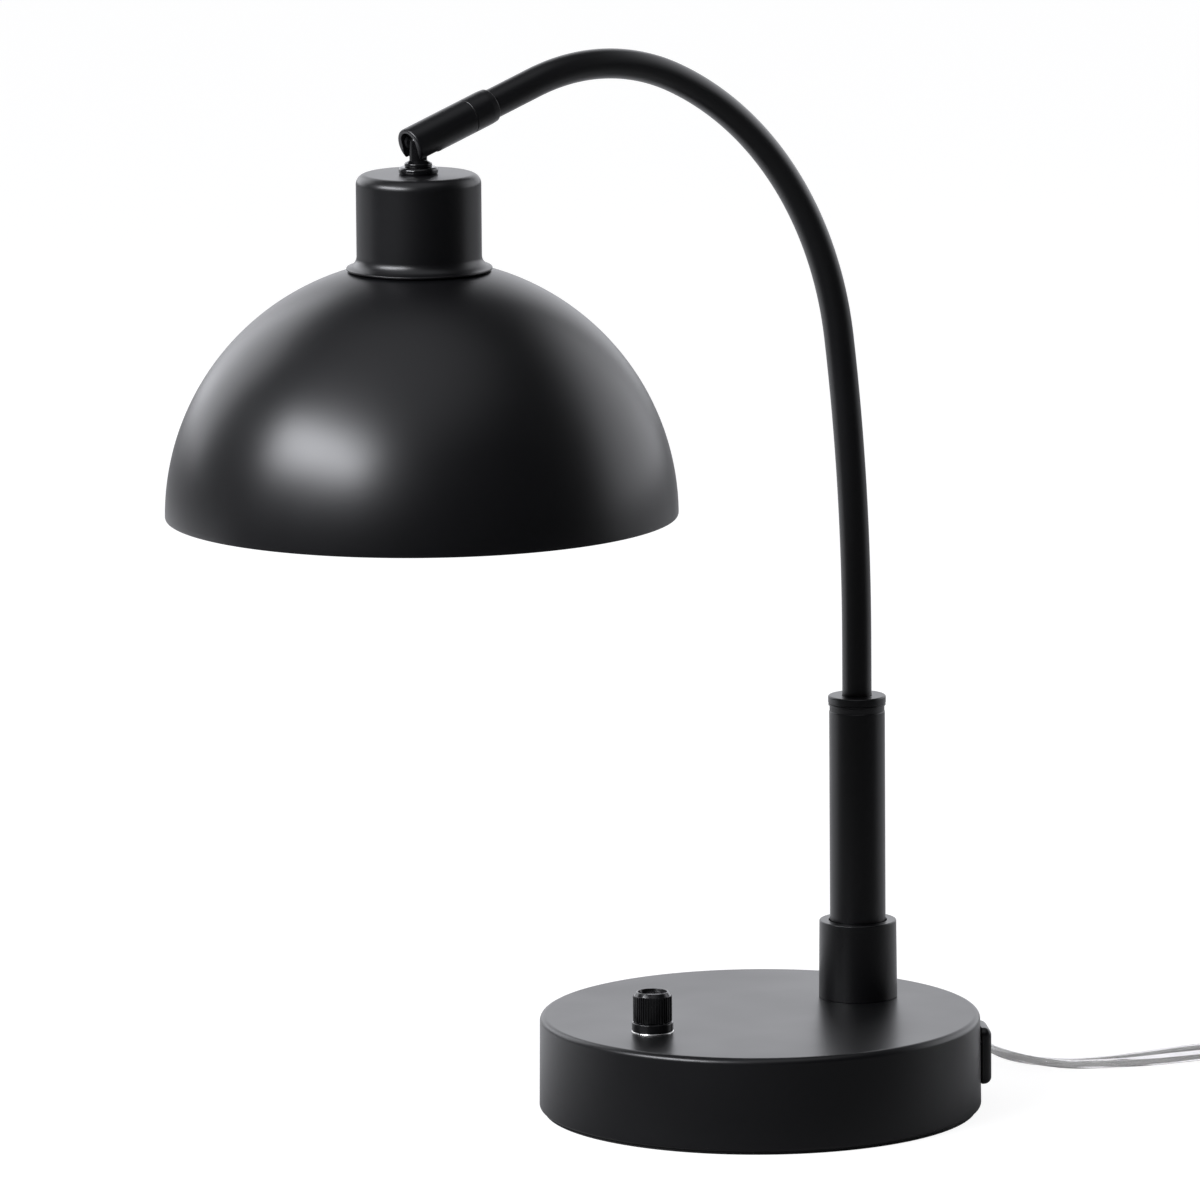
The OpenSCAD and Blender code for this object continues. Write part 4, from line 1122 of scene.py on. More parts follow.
@dataclass
class Shade:
    """Spun steel dome and the cup that covers the lamp holder. Heights are above the rim."""

    x: float
    rim: float
    radius: float = 101.5
    wall: float = SHADE_WALL
    land_radius: float = 24.5
    hole_radius: float = 17.5
    cap_radius: float = 24.7
    cap_height: float = 37.5
    cap_wall: float = 1.4
    cap_edge: float = 4.0
    lip_radius: float = 28.8
    flare_radius: float = 4.5
    lip_gap: float = 0.8
    rim_angle: float = 0.35

    def __post_init__(self) -> None:
        """Works out the flat land's height and the lip's foot."""
        self.land = math.sqrt(self.radius**2 - self.land_radius**2)
        self.lip_foot = math.sqrt(self.radius**2 - self.lip_radius**2) + self.lip_gap

    def dome(self) -> None:
        """Turns the dome, its rim's small rounding and the flat land round its hole."""
        high = math.degrees(math.acos(self.land_radius / self.radius))
        inner = self.radius - self.wall
        under = self.land - self.wall
        inner_high = math.degrees(math.asin(under / inner))
        outer = arc((0, 0), self.radius, self.rim_angle, high, 72)
        inside = arc((0, 0), inner, inner_high, self.rim_angle, 60)
        hole = [(self.hole_radius, self.land), (self.hole_radius, under)]
        rim = [(inner + 0.15, 0.1), (inner + 0.45, 0.0), (self.radius - 0.45, 0.0)]
        outline = [(self.radius - 0.15, 0.1)] + outer + hole + inside + rim
        obj = place(turned("dome", outline, steps=192), (self.x, 0, self.rim))
        dress(obj, POWDER_BLACK, Body.SHADE, ["dome_shade"])

    def neck(self) -> None:
        """Turns the cup with its rounded top and its flared lip."""
        top = self.land + self.cap_height
        r, lip, wall, foot = self.cap_radius, self.lip_radius, self.cap_wall, self.lip_foot
        outline = rounded(
            [
                (lip - 1.0, foot, 0.0), (lip, foot, 0.3), (lip, foot + 0.8, 0.35),
                (r, foot + 1.9, self.flare_radius), (r, top, self.cap_edge),
                (STEM_RADIUS, top, 0.2), (STEM_RADIUS, top - wall, 0.0),
                (r - wall, top - wall, self.cap_edge - wall), (r - wall, self.land, 0.0),
                (r + 0.1, self.land, 0.0), (r + 0.6, self.land + 0.35, 0.2),
            ],
            steps=8,
        )
        obj = place(turned("neck_cup", outline, steps=144), (self.x, 0, self.rim))
        dress(obj, POWDER_BLACK, Body.SHADE, ["neck_cap"])

    def build(self) -> None:
        """Builds the dome and its neck."""
        self.dome()
        self.neck()


# ---- Lamp holder and bulb ----


@dataclass
class LampHolder:
    """The screwed shade ring, the lamp holder and the opal bulb, seen from below."""

    x: float
    rim: float
    land: float
    wall: float = SHADE_WALL
    ring_radius: float = 22.5
    ring_height: float = 4.0
    ring_steps: int = 96
    notch_every: int = 8
    notch_depth: float = 0.8
    skirt_radius: float = 17.2
    skirt_drop: float = 14.0
    body_radius: float = 19.9
    body_rise: float = 23.5
    bore: float = 14.4
    plate: float = 4.0
    neck_radius: float = 8.0
    neck: float = 4.5
    insulator: float = 3.5
    contact: float = 1.9
    bulb_radius: float = 30.0
    bulb_shoulder: float = 27.0
    bulb_length: float = 104.0
    bulb_cap_radius: float = 13.1
    bulb_cap_length: float = 24.0
    glass: float = 0.8

    def ring(self) -> None:
        """Turns the shade ring and notches its rim for the fingers."""
        foot = self.land - self.wall - self.ring_height
        top, bore = foot + self.ring_height - HAIR, self.skirt_radius + PLAY
        outline = rounded([
            (bore, foot, 0.3), (self.ring_radius, foot, 0.6), (self.ring_radius, top, 0.2),
            (bore, top, 0.0),
        ], steps=3)
        obj = turned("shade_ring_moulded", outline, steps=self.ring_steps)

        def in_notch(face: Any) -> bool:
            """Tells whether a face lies on the rim and in a notch.

            Args:
                face: The mesh polygon.

            Returns:
                Whether it is wanted.
            """
            on_rim = face.center.xy.length > (self.ring_radius - 0.2) * MM
            degrees = math.degrees(math.atan2(face.center.y, face.center.x))
            step = round(degrees / (360 / self.ring_steps) - 0.5)
            return abs(face.normal.z) < 0.2 and on_rim and step % self.notch_every == 0

        choose(obj, in_notch)
        inwards = {"value": -self.notch_depth * MM}
        bpy.ops.mesh.extrude_region_shrink_fatten(TRANSFORM_OT_shrink_fatten=inwards)
        close_up()
        place(obj, (self.x, 0, self.rim))
        dress(obj, MOULDED_BLACK, Body.SHADE, ["shade_ring"], weighted=False)

    def holder(self) -> None:
        """Turns the holder's body with its screw bore."""
        skirt, top = self.land - self.skirt_drop, self.land + self.body_rise
        roof = top - self.plate
        outline = rounded([
            (self.bore, skirt, 0.3), (self.skirt_radius, skirt, 0.6),
            (self.skirt_radius, self.land, 0.0), (self.body_radius, self.land, 0.2),
            (self.body_radius, top, 1.0), (self.neck_radius, top, 0.0),
            (self.neck_radius, top + self.neck, 0.5), (STEM_RADIUS, top + self.neck, 0.0),
            (STEM_RADIUS, roof, 0.0), (self.bore, roof, 0.0),
        ], steps=4)
        obj = place(turned("holder_moulded", outline, steps=96), (self.x, 0, self.rim))
        dress(obj, MOULDED_BLACK, Body.SHADE, ["holder_body"])

    def bulb(self) -> None:
        """Turns the globe, which leaves its sphere for the neck in one smooth line."""
        top = self.land + self.body_rise - self.plate - self.insulator - self.contact
        centre, cap = top - self.bulb_length + self.bulb_radius, top - self.bulb_cap_length
        neck = self.bulb_cap_radius - 0.5
        sphere = arc((0, centre), self.bulb_radius, -90, self.bulb_shoulder, 40)
        (wide, high), steps = sphere[-1], 8
        cone = [
            (wide + (neck - wide) * k / steps, high + (cap - HAIR - high) * k / steps)
            for k in range(1, steps + 1)
        ]
        shrink = 1 - self.glass / self.bulb_radius
        inner = [(r - self.glass, z) for r, z in reversed(cone)]
        inner += [(r * shrink, centre + (z - centre) * shrink) for r, z in reversed(sphere)]
        outline = [(max(r, 0.0), z) for r, z in sphere + cone + inner]
        obj = place(turned("opal_globe", outline, closed=False, steps=96), (self.x, 0, self.rim))
        dress(obj, OPAL_GLASS, Body.SHADE, ["bulb_globe"])

    def build(self) -> None:
        """Builds what shows under the dome."""
        self.ring()
        self.holder()
        self.bulb()


# ---- Dimmer ----


@dataclass
class Dimmer:
    """Washer, ring nut and ribbed knob of the rotary dimmer."""

    x: float = -56.0
    foot: float = BASE_TOP
    bush_radius: float = 3.65
    washer_radius: float = 8.6
    washer_height: float = 0.5
    ring_radius: float = 8.4
    ring_height: float = 3.6
    gap: float = 0.4
    radius: float = 7.9
    height: float = 12.0
    ribs: int = 44
    rib_depth: float = 0.45
    edge: float = 1.5
    dish: float = 1.3
    socket_radius: float = 3.05
    socket_depth: float = 8.0

    def washer(self) -> None:
        """Turns the bright washer."""
        top = self.foot + self.washer_height
        outline = rounded([
            (self.bush_radius, self.foot, 0), (self.washer_radius, self.foot, 0.05),
            (self.washer_radius, top, 0.4), (self.bush_radius, top, 0),
        ], steps=6)
        obj = turned("dimmer_washer_turned", outline, (self.x, 0), steps=72)
        dress(obj, BRIGHT_STEEL, Body.BASE, ["dimmer_washer"])

    def ring(self) -> None:
        """Turns the smooth ring under the knob."""
        foot = self.foot + self.washer_height
        top = foot + self.ring_height
        r = self.ring_radius
        outline = rounded([
            (self.bush_radius, foot, 0), (r - 0.15, foot, 0.15), (r, foot + 0.6, 0.3),
            (r, top, 0.4), (self.bush_radius, top, 0),
        ], steps=4)
        obj = turned("dimmer_ring_turned", outline, (self.x, 0), steps=96)
        dress(obj, GLOSS_BLACK, Body.BASE, ["dimmer_ring"])

    def knob(self) -> None:
        """Turns the knob's body and raises its ribs by extruding every other pair of side faces."""
        foot = self.foot + self.washer_height + self.ring_height + self.gap
        top, root = foot + self.height, self.radius - self.rib_depth
        shoulder, roof = top - self.edge, foot + self.socket_depth
        crown = rounded([
            (root, shoulder, 0), (root - 0.2, shoulder + 0.1, 0.1), (root - 1.0, top, 0.35),
            (root - 1.5, top, 0.15), (root - 1.8, top - self.dish, 0.15), (0, top - self.dish, 0),
        ], closed=False, steps=5)
        outline = [(self.socket_radius, foot), (root, foot)] + crown
        outline += [(0, roof), (self.socket_radius, roof)]
        steps = self.ribs * 4
        obj = turned("ribbed_knob", outline, (self.x, 0), steps=steps)
        axis = Vector((self.x * MM, 0))

        def on_rib(face: Any) -> bool:
            """Tells whether a face lies on the side and in a rib.

            Args:
                face: The mesh polygon.

            Returns:
                Whether it is wanted.
            """
            spoke = face.center.xy - axis
            share = math.degrees(math.atan2(spoke.y, spoke.x)) / (360 / steps)
            tall = foot * MM < face.center.z < shoulder * MM
            return tall and spoke.length > (root - 0.1) * MM and math.floor(share) % 4 in (1, 2)

        choose(obj, on_rib)
        outwards = {"value": self.rib_depth * MM}
        bpy.ops.mesh.extrude_region_shrink_fatten(TRANSFORM_OT_shrink_fatten=outwards)
        close_up()
        crest = (self.radius - 0.05) * MM
        bevel_edges(
            obj, 0.12, 1, lambda a, b: min((a.xy - axis).length, (b.xy - axis).length) > crest
        )
        dress(obj, GLOSS_BLACK, Body.KNOB, ["dimmer_knob"], weighted=False)

    def build(self) -> None:
        """Builds the dimmer's visible pieces."""
        self.washer()
        self.ring()
        self.knob()


# ---- Port ----


@dataclass
class Port:
    """Bevelled plate on the drum's wall, with the opening for a rectangular receptacle."""

    plate_size: tuple[float, float] = (20.0, 23.5)
    thickness: float = 4.0
    bevel: float = 3.0
    corner: float = 3.2
    opening: tuple[float, float] = (13.3, 5.9)
    opening_corner: float = 0.4
    cutter_depth: float = 12.0

    def set_in(self, obj: bpy.types.Object) -> bpy.types.Object:
        """Sets a piece, modelled flat on XY with Z outwards, on the drum's wall.

        Args:
            obj: The piece.

        Returns:
            The piece.
        """
        upright = Matrix(((0, 0, 1, 0), (1, 0, 0, 0), (0, 1, 0, 0), (0, 0, 0, 1)))
        foot = Matrix.Translation((DRUM_RADIUS * MM, 0, PORT_HEIGHT * MM))
        return place(obj, (0, 0, 0), swung(PORT_TURN) @ foot @ upright)

    def oblong(self, size: tuple[float, float], corner: float, steps: int) -> Profile:
        """Gives a rectangle round the origin with rounded corners.

        Args:
            size: Its width and height in millimetres.
            corner: The corners' radius.
            steps: How many straight pieces a corner has.

        Returns:
            The outline's points.
        """
        w, h = (s / 2 for s in size)
        corners = [(-w, -h, corner), (w, -h, corner), (w, h, corner), (-w, h, corner)]
        return rounded(corners, steps=steps)

    def plate(self) -> None:
        """Makes the plate, bevels its face and cuts the receptacle's opening."""
        outline = self.oblong(self.plate_size, self.corner, 6)
        obj = slab("port_plate_moulded", outline, self.thickness)
        rim = (self.thickness - NEAR) * MM
        bevel_edges(obj, self.bevel, 6, lambda a, b: min(a.z, b.z) > rim)
        outline = self.oblong(self.opening, self.opening_corner, 3)
        cutter = slab("opening_cutter", outline, self.cutter_depth)
        cut(obj, place(cutter, (0, 0, (self.thickness - self.cutter_depth) / 2)))
        dress(self.set_in(obj), POWDER_BLACK, Body.BASE, ["port_plate"])

    def build(self) -> None:
        """Builds the plate."""
        self.plate()


# ---- Cord ----


@dataclass
class MainsCord:
    """Flat clear cord: strain relief, free lead and coil; the tie and plug stay as the CAD has
    them. Lengths are millimetres.
    """

    relief: float = 20.0
    relief_inside: float = 8.0
    relief_radius: float = 4.9
    flange_radius: float = 7.5
    flange: float = 2.3
    tail: tuple[float, float] = (5.2, 4.3)
    plain: float = 3.0
    lead_in: float = 1.4
    grooves: int = 5
    groove_depth: float = 0.7
    width: float = 7.1
    thickness: float = 3.6
    waist_share: float = 0.74
    shoulder_share: float = 0.93
    conductor_share: float = 0.42
    conductor_sides: int = 10
    length: float = 1820.0
    floor_gap: float = 0.05
    turns: int = 7
    gap: float = 0.6
    heading: float = -43.0
    straight_end: float = 25.0
    loop_points: int = 24
    climb_share: float = 0.55
    climb_flat: float = 0.27
    climb_ease: float = 0.23
    # Set points of the free lead: place in the outlet's frame, share of the outlet's height and
    # the section's turn, which is 90 flat and 0 on edge.
    lead: tuple[tuple[float, float, float, float], ...] = (
        (0, 0, 1, 90), (3, 0, 1, 90), (10.5, -0.9, 0.97, 90), (19.9, -5, 0.86, 90),
        (27.4, -11.9, 0.69, 92), (32.3, -20.9, 0.48, 96), (34, -31, 0.28, 100),
        (32.3, -41.1, 0.12, 106), (27.8, -49.7, 0.04, 112), (18.3, -58, 0.01, 116),
        (10.3, -64.6, 0, 118), (3.6, -72.6, 0, 116), (-0.9, -81.9, 0, 108), (-2.2, -92.2, 0, 98),
        (-0.1, -102.4, 0, 88), (4.1, -112.2, 0, 80), (9.5, -122.4, 0, 66), (16.2, -133.1, 0, 42),
        (24.1, -143.8, 0.005, 14), (32.6, -154.2, 0.02, 4), (41.1, -163.7, 0.04, 0),
        (48.3, -171, 0.04, 0),
    )
    lead_steps: tuple[float, ...] = (0.34, 0.67, 1.0)
    route: Route = field(default_factory=list)
    rolls: list[float] = field(default_factory=list)

    def rest_height(self, roll: float) -> float:
        """Gives the centre's height where the CAD's eight-sided section rests on the floor.

        Args:
            roll: The section's turn in degrees.

        Returns:
            The height in millimetres.
        """
        turn, flat = math.radians(roll), math.tan(math.radians(22.5))
        wide, thin = self.width / 2, self.thickness / 2
        corners = [(wide, thin * flat), (wide * flat, thin)]
        return self.floor_gap + max(
            a * abs(math.cos(turn)) + b * math.sin(turn) for a, b in corners
        )

    def lobe_height(self, roll: float) -> float:
        """Gives the least height of the centre at which the round lobes clear the floor."""
        half = self.thickness / 2
        return self.floor_gap + (self.width / 2 - half) * abs(math.cos(math.radians(roll))) + half

    def controls(self) -> list[tuple[Vector, float]]:
        """Gives the free lead's set points.

        Returns:
            Each point in the outlet's frame, and the section's turn there.
        """
        points = []
        for x, y, lift, roll in self.lead:
            rest = self.rest_height(roll)
            points.append((Vector((x, y, rest + lift * (OUTLET_HEIGHT - rest))), float(roll)))
        return points

    def coil_frame(self, start: Vector) -> tuple[Vector, float]:
        """Gives the coil's centre and outer radius, as the CAD source does.

        Args:
            start: The free lead's last point, in the outlet's frame.

        Returns:
            The centre and the radius.
        """
        spots = [spot for spot, _ in self.controls()]
        run = sum((b - a).length for a, b in zip(spots, spots[1:]))
        mean = (self.length - run - self.width - self.straight_end) / (self.turns * math.tau)
        outer = mean + (self.thickness + self.gap) * self.turns / 4
        turn = math.radians(self.heading)
        ahead = Vector((math.cos(turn), math.sin(turn), 0))
        side = Vector((math.sin(turn), -math.cos(turn), 0))
        return start + ahead * self.width + side * outer, outer

    def coil_point(self, turn: float, centre: Vector, outer: float, low: float) -> Vector:
        """Gives a point of the coil: in to the middle on the floor, then out again on top.

        Args:
            turn: How many turns the point is along the coil.
            centre: The coil's centre in millimetres.
            outer: Its outer radius.
            low: The height of its lower layer.

        Returns:
            The point in the outlet's frame.
        """
        pitch, rise = self.thickness + self.gap, self.width + self.gap
        past = turn - self.turns / 2

        def ease(share: float) -> float:
            """Eases from 0 to 1."""
            c = min(max(share, 0.0), 1.0)
            return c * c * (3 - 2 * c)

        dip = pitch * self.climb_share * (1 - ease((abs(past) - self.climb_flat) / self.climb_ease))
        radius = outer - pitch * min(turn, self.turns - turn) - dip
        angle = math.radians(self.heading + 90 - 360 * turn)
        lift = rise * ease(past / 0.5 + 0.5)
        x, y = centre.x + radius * math.cos(angle), centre.y + radius * math.sin(angle)
        return Vector((x, y, low + lift))

    def lay_out(self) -> None:
        """Lays the centre line in the CAD frame, with the section's turn at each point."""
        controls = self.controls()
        spots, rolls = [controls[0][0]], [controls[0][1]]
        for index in range(len(controls) - 1):
            last = len(controls) - 1
            four = [controls[min(max(index + k, 0), last)] for k in (-1, 0, 1, 2)]
            for step in self.lead_steps:
                spots.append(catmull([p[0] for p in four], step))
                rolls.append(catmull([Vector((p[1], 0, 0)) for p in four], step).x)
        start = spots[-1].copy()
        centre, outer = self.coil_frame(start)
        heading = math.radians(self.heading)
        ahead = Vector((math.cos(heading), math.sin(heading), 0))
        spots.append(start + ahead * self.width * 0.5)
        spots += [
            self.coil_point(k / self.loop_points / 2, centre, outer, start.z)
            for k in range(self.turns * self.loop_points * 2 + 1)
        ]
        end = spots[-1].copy()
        spots += [end + ahead * self.straight_end * k / 5 for k in range(1, 6)]
        rolls += [0.0] * (len(spots) - len(rolls))
        turn = swung(OUTLET_TURN)
        foot = turn @ Vector((DRUM_RADIUS + self.relief, 0, 0))
        for spot, roll in zip(spots, rolls):
            spot.z = max(spot.z, self.lobe_height(roll))
        self.route = [(turn @ p + foot) * MM for p in spots]
        self.rolls = rolls

    def jacket(self) -> bpy.types.Object:
        """Sweeps the jacket: two round lobes joined by a web.

        Returns:
            The jacket.
        """
        w, t = self.width / 2, self.thickness / 2
        lobe, waist, shoulder = w - t, t * self.waist_share, t * self.shoulder_share
        half = arc((lobe, 0), t, -75, 75, 6)
        half += [(lobe / 2, shoulder), (0.0, waist), (-lobe / 2, shoulder)]
        section = half + [(-x, -y) for x, y in half]
        obj = swept("cord_jacket", self.route, self.rolls, section)
        nodes = ["cord_lead", "cord_coil"]
        return dress(obj, CLEAR_PVC, Body.BASE, nodes, angle=60, weighted=False)

    def conductors(self) -> bpy.types.Object:
        """Sweeps the two bunched conductors inside the jacket.

        Returns:
            The conductors as one piece.
        """
        t = self.thickness / 2
        lobe, radius = self.width / 2 - t, t * self.conductor_share
        pair = []
        for side in (-1, 1):
            section = arc((side * lobe, 0), radius, 0, 360, self.conductor_sides)[:-1]
            pair.append(swept(f"conductor_{side + 1}", self.route, self.rolls, section))
            self.map_run(pair[-1], self.conductor_sides, radius)
        obj = joined(*pair)
        obj.name = obj.data.name = "cord_conductors"
        return dress(obj, STRANDED_TIN, Body.BASE, angle=60, weighted=False)

    def map_run(self, obj: bpy.types.Object, sides: int, radius: float) -> None:
        """Gives a swept round piece a UV map in millimetres: round it and along it.

        Args:
            obj: The piece.
            sides: How many sides its section has.
            radius: Its radius in millimetres.
        """
        layer = obj.data.uv_layers.new(name=RUN_MAP)
        lengths = [0.0]
        for a, b in zip(self.route, self.route[1:]):
            lengths.append(lengths[-1] + (b - a).length / MM)
        around = math.tau * radius / sides
        for polygon in obj.data.polygons:
            columns = [obj.data.loops[i].vertex_index % sides for i in polygon.loop_indices]
            wraps = max(columns) - min(columns) > sides / 2
            for i, column in zip(polygon.loop_indices, columns):
                ring = min(obj.data.loops[i].vertex_index // sides, len(lengths) - 1)
                across = column + (sides if wraps and column < sides / 2 else 0)
                layer.data[i].uv = (across * around, lengths[ring])

    def strain_relief(self) -> None:
        """Turns the relief with its flange and its tapered, grooved tail."""
        foot, wall = DRUM_RADIUS - self.relief_inside, DRUM_RADIUS + 0.1
        top, end = DRUM_RADIUS + self.flange, DRUM_RADIUS + self.relief
        corners = [
            (0, foot, 0), (self.relief_radius, foot, 0.3), (self.relief_radius, wall, 0),
            (self.flange_radius, wall, 0.3), (self.flange_radius, top, 0.7), (5.4, top + 0.1, 0.3),
        ]
        wide, narrow = self.tail
        pitch = (end - top - self.plain) / self.grooves
        for k in range(self.grooves):
            low = top + self.lead_in + k * pitch
            r = wide - (wide - narrow) * (low - top) / (end - top)
            root = r - self.groove_depth
            corners += [
                (r, low, 0.25), (root, low + 0.2, 0.2), (root, low + 1.1, 0.2), (r, low + 1.3, 0.25)
            ]
        corners += [(4.35, end, 0.6), (0, end, 0)]
        outline = rounded(corners, closed=False, steps=3)
        obj = turned("strain_relief", outline, closed=False, steps=64)
        turn = swung(OUTLET_TURN) @ Matrix.Rotation(math.pi / 2, 4, "Y")
        place(obj, (0, 0, OUTLET_HEIGHT), turn)
        dress(obj, RUBBER_BLACK, Body.BASE, ["cord_bushing"])

    def build(self) -> None:
        self.lay_out()
        self.strain_relief()
        jacket = self.jacket()
        conductors = self.conductors()


def catmull(four: Sequence[Vector], share: float) -> Vector:
    """Gives a point on the smooth curve between the second and the third of four points.

    Args:
        four: The points.
        share: How far along the stretch it lies, from 0 to 1.

    Returns:
        The point.
    """
    a, b, c, d = four
    square, cube = 2 * a - 5 * b + 4 * c - d, 3 * b - a - 3 * c + d
    return 0.5 * (2 * b + (c - a) * share + square * share**2 + cube * share**3)


# ---- Studio ----


@dataclass(frozen=True)
class Sweep:
    """A soft bright region of the surround.

    Its middle, as degrees round and up, the half angles to which it is full and at which it has
    faded out, and its brightness.
    """

    turn: float
    rise: float
    inner: float
    outer: float
    level: float


@dataclass(frozen=True)
class SoftBox:
    """A soft lamp.

    Its name, its place as degrees round and up and metres from the aim, its face in metres and
    how bright that is.
    """

    name: str
    turn: float
    rise: float
    distance: float
    size: tuple[float, float]
    radiance: float


@dataclass
class Studio:
    """Floor, surround, soft lamps and the camera.

    Degrees round the object count from the camera's side to the right.
    """

    # The camera: azimuth in degrees, pitch and roll in radians, and the CAD frame's origin as the
    # lens sees it, in millimetres right, down and away.
    lens_mm: float = 360.0
    sensor_mm: float = 36.0
    clip_end: float = 200.0
    azimuth: float = 38.5
    pitch: float = 0.1741
    roll: float = -0.0076
    shift: tuple[float, float, float] = (65.3686, 206.8688, 4890.7591)
    # The floor: its light to the eye, and the share of its tone that is left to the eye for the
    # object's shadow. To gloss its tone is full beyond the object, falls to near_share within
    # unlit_from metres of it, and to 1 - unlit at the nearer end of near_from: painted shade for
    # the unlit room nearer the camera. These distances count from the frame's origin away from the
    # camera.
    floor_size: float = 60.0
    floor_colour: str = "#f4f4f4"
    floor_white: float = 0.9
    shadow_share: float = 0.25
    unlit: float = 0.985
    unlit_from: float = 0.25
    near_share: float = 0.14
    near_from: tuple[float, float] = (-1.3, -0.5)
    # The surround: the room's own brightness and the tint of the light on the object.
    room: float = 0.028
    daylight: tuple[float, float, float] = (0.945, 0.955, 1.0)
    sweeps: tuple[Sweep, ...] = (
        Sweep(178, 0, 18, 50, 1.5),
        Sweep(130, 5, 14, 45, 1.9),
        Sweep(-140, 5, 12, 40, 0.45),
        Sweep(-30, 74, 8, 48, 0.7),
        Sweep(-95, 5, 10, 45, 0.2),
    )
    boxes: tuple[SoftBox, ...] = (
        SoftBox("key_box", -52, 31, 1.8, (1.4, 0.5), 19.5),
        SoftBox("left_strip", -138, 24, 1.8, (1.1, 1.2), 1.85),
    )
    aim: tuple[float, float, float] = (-100, 0, 250)

    def rig(self) -> Matrix:
        """Gives the turn from the lamp's frame to the rig's: right, away, up."""
        return Matrix.Rotation(math.radians(self.azimuth), 3, "Z")

    def camera(self) -> None:
        """Sets the camera where the photograph was taken from."""
        cp, sp = math.cos(self.pitch), math.sin(self.pitch)
        cr, sr = math.cos(self.roll), math.sin(self.roll)
        look = Matrix(((1, 0, 0), (0, -sp, -cp), (0, cp, -sp)))
        spin = Matrix(((cr, -sr, 0), (sr, cr, 0), (0, 0, 1)))
        rows = spin @ look @ self.rig()
        spot = -(rows.transposed() @ Vector(self.shift)) * MM
        data = bpy.data.cameras.new("camera")
        data.lens, data.sensor_width, data.clip_end = self.lens_mm, self.sensor_mm, self.clip_end
        camera = bpy.data.objects.new("camera", data)
        bpy.context.scene.collection.objects.link(camera)
        flip = Matrix(((1, 0, 0), (0, -1, 0), (0, 0, -1)))
        camera.matrix_world = Matrix.Translation(spot) @ (rows.transposed() @ flip).to_4x4()
        bpy.context.scene.camera = camera

    def toward(self, turn: float, rise: float) -> Vector:
        """Gives a direction in the lamp's frame.

        Args:
            turn: Degrees round from the camera's side to the right.
            rise: Degrees above the horizon.

        Returns:
            The direction, of length 1.
        """
        a, e = math.radians(turn), math.radians(rise)
        out = Vector((math.sin(a) * math.cos(e), -math.cos(a) * math.cos(e), math.sin(e)))
        return self.rig().transposed() @ out

    def seen(self, tree: bpy.types.NodeTree, path: bpy.types.Node) -> bpy.types.NodeSocket:
        """Adds 1 for rays that show the backdrop itself: the camera's and those through glass.

        Args:
            tree: The node tree.
            path: Its Light Path node.

        Returns:
            The socket.
        """
        shown = {0: path.outputs["Is Camera Ray"], 1: path.outputs["Is Transmission Ray"]}
        return add_node(tree, "ShaderNodeMath", {"operation": "MAXIMUM"}, shown).outputs[0]

    def floor(self) -> None:
        """Lays the pale floor: white to the eye, with the object's shadow on it.

        To gloss, its paper is painted darker nearer the camera than the object: painted shade for
        the unlit room there.
        """
        obj = begin("floor", bpy.ops.mesh.primitive_plane_add, size=self.floor_size)
        bpy.ops.object.mode_set(mode="OBJECT")
        material = bpy.data.materials.new("studio_paper")
        material.use_nodes = True
        tree = material.node_tree
        tree.nodes.clear()
        path = add_node(tree, "ShaderNodeLightPath")
        seen = self.seen(tree, path)
        spot = add_node(tree, "ShaderNodeTexCoord")
        depth = add_node(
            tree,
            "ShaderNodeVectorMath",
            {"operation": "DOT_PRODUCT", 1: self.toward(180, 0)},
            {0: spot.outputs["Object"]},
        ).outputs["Value"]
        # Painted shade: the paper's tone to gloss fades from full beyond the object to dark nearer
        # the camera.
        far, near = (
            add_node(
                tree,
                "ShaderNodeMapRange",
                {
                    "interpolation_type": "SMOOTHSTEP",
                    "From Min": first,
                    "From Max": last,
                    "To Min": least,
                    "To Max": most,
                },
                {"Value": depth},
            ).outputs[0]
            for first, last, least, most in (
                (-self.unlit_from, self.unlit_from, 1 - self.unlit, 1.0),
                (*self.near_from, 0.0, self.near_share),
            )
        )
        lit = add_node(tree, "ShaderNodeMath", {"operation": "MAXIMUM"}, {0: far, 1: near})
        glossy = add_node(
            tree, "ShaderNodeMapRange", {"To Min": 1.0},
            {"Value": path.outputs["Is Glossy Ray"], "To Max": lit.outputs[0]},
        )
        plain = add_node(
            tree, "ShaderNodeMapRange", {"To Max": self.shadow_share},
            {"Value": seen, "To Min": glossy.outputs[0]},
        )
        tone = add_node(
            tree, "ShaderNodeHueSaturation", {"Color": linear(self.floor_colour)},
            {"Value": plain.outputs[0]},
        )
        paper = add_node(tree, "ShaderNodeBsdfDiffuse", None, {"Color": tone.outputs[0]})
        level = add_node(
            tree, "ShaderNodeMath", {"operation": "MULTIPLY", 1: self.floor_white}, {0: seen}
        )
        white = add_node(tree, "ShaderNodeEmission", None, {"Strength": level.outputs[0]})
        parts = {0: paper.outputs[0], 1: white.outputs[0]}
        both = add_node(tree, "ShaderNodeAddShader", None, parts)
        add_node(tree, "ShaderNodeOutputMaterial", None, {"Surface": both.outputs[0]})
        obj.data.materials.append(material)

